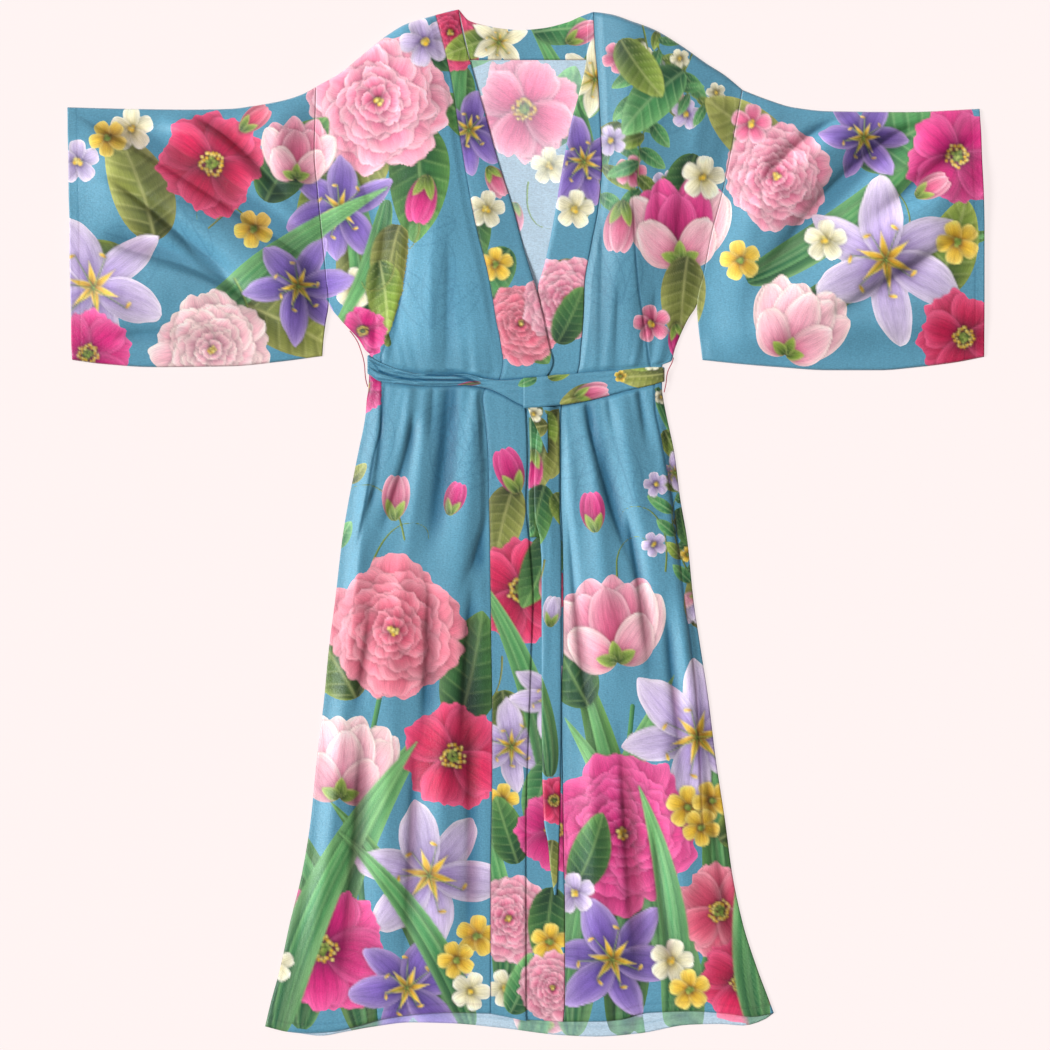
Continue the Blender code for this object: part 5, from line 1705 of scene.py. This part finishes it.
def make_wrap():
    """The belt's stretch from the knot round the left side, under the back and round the right side."""
    table = np.array(BELT_SECTIONS + BELT_OVER_KNOT, float)
    length = np.hypot(np.diff(table[:, 2]), np.diff(table[:, 3]))
    stops = np.concatenate([[0.0], np.cumsum(length)])
    seen = table[:, 3] > BELT_SEEN_Z
    at = [0.0]
    while at[-1] < stops[-1]:
        index = min(int(np.searchsorted(stops, at[-1], side="right")), len(stops) - 1)
        at.append(at[-1] + (BELT_STEP if seen[index] or seen[index - 1] else BELT_HIDDEN_STEP))
    at = np.array(at[:-1] + [stops[-1]])
    rows = [eased(stops, column, at)[:, None] for column in table.T]
    inner_x, inner_z, outer_x, outer_z, top, foot = rows
    share = np.linspace(0, 1, 31)[None, :]
    across = top + (foot - top) * share
    station = at[:, None] + 0 * share
    in_front = np.where(inner_z > BELT_FRONT_Z, 1.0, 0.0)

    flare = ramp(inner_x, -70, -35)
    wander = 0.5 * drift(station, 0 * station, 26, 9, 81)
    broad = 0.9 * np.cos(2 * np.pi * (share * 2.6 + wander))
    narrow = 0.45 * np.cos(2 * np.pi * (share * 5.3 - 2 * wander))
    strands = (1 - flare + 0.12 * flare) * in_front * (broad + narrow)
    strands = strands + 0.30 * in_front * drift(station, across, 30, 3.2, 82)
    rounded = crowned(share, 12)
    creases = np.max([near_line(line, inner_x + 0 * share, across, 1.7) for line in BELT_CREASES], axis=0)
    creases = creases * in_front
    swell = 0.35 + 0.65 * rounded + 0.55 * rounded * strands - 0.3 * creases
    sag = 0.8 * (1 - rounded) * in_front
    outer_z = inner_z + (outer_z - inner_z) * swell - sag
    outer = np.dstack([inner_x + (outer_x - inner_x) * swell, across, outer_z])
    inner = np.dstack([inner_x + 0 * share, across, inner_z - sag])
    # Painted shade between the strands and in the creases.
    seam_and_shade = np.clip(-strands - 0.3, 0, 1) * 0.45 + creases
    look = printed(outer[:, :, :2], seam_and_shade, BELT_PRINT)
    return place(shell("belt_wrap", outer, inner, look, coarse=2), "belt_wrap")


def make_knot():
    """The belt's end folded flat under the stretch that crosses it."""
    bpy.ops.object.select_all(action="DESELECT")
    low, high = np.array(KNOT_PAD[0]), np.array(KNOT_PAD[1])
    middle = (low + high) / 2 - (0, MIDDLE_Y, 0)
    bpy.ops.mesh.primitive_cube_add(size=1.0, location=(0, 0, 0))
    obj = bpy.context.object
    obj.name = obj.data.name = "belt_knot"
    for vertex in obj.data.vertices:
        vertex.co = (np.array(vertex.co) * (high - low) + middle) * MM
    bevel = obj.modifiers.new("soft edges", "BEVEL")
    bevel.width = 1.2 * MM
    bevel.segments = 3
    bpy.ops.object.modifier_apply(modifier=bevel.name)
    obj.data.shade_smooth()
    obj.data.materials.append(robe_material("printed side"))
    layer = obj.data.attributes.new("cover", "FLOAT", "POINT")
    layer.data.foreach_set("value", [BARE] * len(obj.data.vertices))
    return place(obj, "belt_knot")


def strip(table, step):
    """Rows of a flat strip of the belt, drawn every step, and its grid of points with their shares across."""
    sections = [(left, y, right, y, z) for y, left, right, z in table]
    rows, down = fine_rows(sections, [0, 1, 2, 3, 4], step)
    shares = np.linspace(0, 1, 17)
    return rows[:, 4:5], down, shares[None, :], plan_grid(rows[:, :2], rows[:, 2:4], shares, down)


def make_tail(name, table, seed):
    """One free end of the belt: a flat doubled strip that lies on the fronts."""
    level, down, share, grid = strip(table, 1.8)
    crown = crowned(share, 7)
    ends = rounding((down[-1] - down) / 3)[:, None]
    low = level + np.minimum(0, 3.9 - level) * ramp(share, 0.4, 1)
    lie = drift(grid[:, :, 0], grid[:, :, 1], 7, 60, seed)
    top = low + 0.6 + 0.8 * crown * ends + 0.35 * crown * lie
    look = printed(grid, 0 * top, BELT_PRINT)
    return place(shell(name, tall(grid, top), tall(grid, low), look, coarse=2), name)


def make_corner():
    """The belt's turned corner, which narrows to a point over both ends."""
    level, _, share, grid = strip(TURNED_CORNER, 1.0)
    low = level - 1.4 * share**2
    top = low + 0.7 + 0.25 * drift(grid[:, :, 0], grid[:, :, 1], 9, 30, 160)
    look = printed(grid, 0 * top, BELT_PRINT, CORNER_SHIFT)
    return place(shell("belt_corner", tall(grid, top), tall(grid, low), look, coarse=2), "belt_knot")


def make_loop(name, route):
    """A loop of twisted thread on a side seam, through which the belt runs."""
    curve = bpy.data.curves.new(name, "CURVE")
    curve.dimensions = "3D"
    curve.bevel_depth = THREAD_RADIUS * MM
    curve.bevel_resolution = 3
    curve.resolution_u = 8
    curve.use_fill_caps = True
    spline = curve.splines.new("NURBS")
    spline.points.add(len(route) - 1)
    spline.use_endpoint_u = True
    spline.order_u = 3
    for point, (x, y, z) in zip(spline.points, route):
        point.co = (x * MM, (y - MIDDLE_Y) * MM, z * MM, 1.0)
    curve.materials.append(robe_material("thread"))
    obj = bpy.data.objects.new(name, curve)
    bpy.context.scene.collection.objects.link(obj)
    return place(obj, name)


def far_light(name, source, spread, strength):
    """A soft light from far away, whose rays come from the point named source."""
    light = bpy.data.lights.new(name, "SUN")
    light.angle = math.radians(spread)
    light.energy = strength
    obj = bpy.data.objects.new(name, light)
    obj.location = source
    obj.rotation_mode = "QUATERNION"
    obj.rotation_quaternion = obj.location.to_track_quat("Z", "Y")
    bpy.context.scene.collection.objects.link(obj)
    return obj


def colour_setting(name, description, colour):
    return bpy.props.FloatVectorProperty(
        name=name, description=description, subtype="COLOR", size=3, default=colour, min=0, max=1,
    )


class RobeSettings(bpy.types.PropertyGroup):
    """What the panel lets a person change before the robe is built."""

    ground: colour_setting("Ground", "Colour of the satin between the flowers", (0.102, 0.302, 0.430))
    wrong_side: colour_setting("Wrong side", "Colour of the satin's wrong side", (0.50, 0.64, 0.76))
    thread: colour_setting("Thread", "Colour of the belt loops", (0.42, 0.02, 0.06))
    floor: colour_setting("Floor", "Colour of the floor", (0.97, 0.875, 0.865))
    fold_strength: bpy.props.FloatProperty(
        name="Folds", description="Height of the folds, as a share of the measured one", default=1.0,
        min=0, max=2,
    )
    sheen: bpy.props.FloatProperty(
        name="Sheen", description="Soft sheen of the satin", default=0.25, min=0, max=1,
    )
    mesh_step: bpy.props.FloatProperty(
        name="Mesh step", description="Distance between two points of a front's mesh", default=0.002,
        min=0.001, max=0.02, unit="LENGTH",
    )
    camera_distance: bpy.props.FloatProperty(
        name="Camera distance", description="Height of the camera over the floor", default=6.0,
        min=2, max=20, unit="LENGTH",
    )


class RobeOperator:
    """What the robe's operators share."""

    bl_options = {"REGISTER", "UNDO"}


class ROBE_OT_back(RobeOperator, bpy.types.Operator):
    """Adds the back panel, wrong side up"""

    bl_idname = "robe.back"
    bl_label = "Back"

    def execute(self, context):
        back = make_back()
        return {"FINISHED"}


class ROBE_OT_fronts(RobeOperator, bpy.types.Operator):
    """Adds both front panels with their folds and the gathers at the belt"""

    bl_idname = "robe.fronts"
    bl_label = "Fronts"

    def execute(self, context):
        left = make_front(
            "front_left", LEFT_SECTIONS, LEFT_FOLDS, LEFT_PLEAT, SHOULDER_LEFT, HEM_LEFT, BAND_LIFT,
            LEFT_PAINTED_LIGHT, 20,
        )
        right = make_front(
            "front_right", RIGHT_SECTIONS, RIGHT_FOLDS, RIGHT_PLEAT, SHOULDER_RIGHT, HEM_RIGHT, 0.0,
            RIGHT_PAINTED_LIGHT, 40,
        )
        return {"FINISHED"}


class ROBE_OT_bands(RobeOperator, bpy.types.Operator):
    """Adds the neck band: both front stretches and the one across the back of the neck"""

    bl_idname = "robe.bands"
    bl_label = "Neck band"

    def execute(self, context):
        left = make_band("band_left", LEFT_SECTIONS, BAND_LIFT, 90)
        right = make_band("band_right", RIGHT_SECTIONS, 0.0, 95)
        neck = make_neck_band()
        return {"FINISHED"}


class ROBE_OT_sleeves(RobeOperator, bpy.types.Operator):
    """Adds both sleeves as flattened tubes, open at the cuff and at the armhole"""

    bl_idname = "robe.sleeves"
    bl_label = "Sleeves"

    def execute(self, context):
        left = make_sleeve(
            "sleeve_left", LEFT_SLEEVE_SECTIONS, LEFT_SLEEVE_FOLDS, LEFT_SLEEVE_TOP, LEFT_SLEEVE_FOOT,
            110,
        )
        right = make_sleeve(
            "sleeve_right", RIGHT_SLEEVE_SECTIONS, RIGHT_SLEEVE_FOLDS, RIGHT_SLEEVE_TOP, RIGHT_SLEEVE_FOOT,
            130,
        )
        return {"FINISHED"}


class ROBE_OT_belt(RobeOperator, bpy.types.Operator):
    """Adds the belt: its stretch round the body, its flat knot and both ends"""

    bl_idname = "robe.belt"
    bl_label = "Belt"

    def execute(self, context):
        wrap = make_wrap()
        knot = make_knot()
        corner = make_corner()
        short = make_tail("belt_tail_short", SHORT_TAIL, 140)
        long = make_tail("belt_tail_long", LONG_TAIL, 150)
        return {"FINISHED"}


class ROBE_OT_loops(RobeOperator, bpy.types.Operator):
    """Adds the thread loops that hold the belt at the side seams"""

    bl_idname = "robe.loops"
    bl_label = "Belt loops"

    def execute(self, context):
        for name, route in (("loop_left", LEFT_LOOP), ("loop_right", RIGHT_LOOP)):
            make_loop(name, route)
        return {"FINISHED"}


class ROBE_OT_stage(RobeOperator, bpy.types.Operator):
    """Adds the floor, the lights and the camera straight above"""

    bl_idname = "robe.stage"
    bl_label = "Stage"

    def execute(self, context):
        settings = context.scene.robe
        bpy.ops.object.select_all(action="DESELECT")
        bpy.ops.mesh.primitive_plane_add(size=FLOOR_SIZE, location=(0, 0, -FLOOR_DROP))
        floor = context.object
        floor.name = "floor"
        floor.data.materials.append(robe_material("floor"))
        for light in LIGHTS:
            far_light(*light)
        world = bpy.data.worlds.new("studio")
        world.use_nodes = True
        background = world.node_tree.nodes["Background"]
        background.inputs["Color"].default_value = (*SKY, 1.0)
        background.inputs["Strength"].default_value = SKY_STRENGTH
        context.scene.world = world
        middle = [value * MM for value in FRAME_MIDDLE]
        camera = bpy.data.objects.new("camera", bpy.data.cameras.new("camera"))
        camera.location = (*middle, settings.camera_distance)
        camera.data.sensor_width = SENSOR
        camera.data.lens = SENSOR * settings.camera_distance / (FRAME_WIDTH * MM)
        context.scene.collection.objects.link(camera)
        context.scene.camera = camera
        context.scene.view_settings.view_transform = "Standard"
        return {"FINISHED"}


STEPS = (
    ROBE_OT_back, ROBE_OT_fronts, ROBE_OT_bands, ROBE_OT_sleeves, ROBE_OT_belt, ROBE_OT_loops, ROBE_OT_stage,
)


class ROBE_PT_panel(bpy.types.Panel):
    """Lists the robe's settings and its steps"""

    bl_label = "Kimono robe"
    bl_idname = "ROBE_PT_panel"
    bl_space_type = "VIEW_3D"
    bl_region_type = "UI"
    bl_category = "Robe"

    def draw(self, context):
        settings = context.scene.robe
        for key in settings.__annotations__:
            self.layout.prop(settings, key)
        for step in STEPS:
            self.layout.operator(step.bl_idname)


CLASSES = (RobeSettings, *STEPS, ROBE_PT_panel)


def register():
    for cls in CLASSES:
        bpy.utils.register_class(cls)
    bpy.types.Scene.robe = bpy.props.PointerProperty(type=RobeSettings)


def unregister():
    del bpy.types.Scene.robe
    for cls in reversed(CLASSES):
        bpy.utils.unregister_class(cls)


def main():
    register()
    bpy.ops.robe.back()
    bpy.ops.robe.fronts()
    bpy.ops.robe.bands()
    bpy.ops.robe.sleeves()
    bpy.ops.robe.belt()
    bpy.ops.robe.loops()
    bpy.ops.robe.stage()


if __name__ == "__main__":
    main()
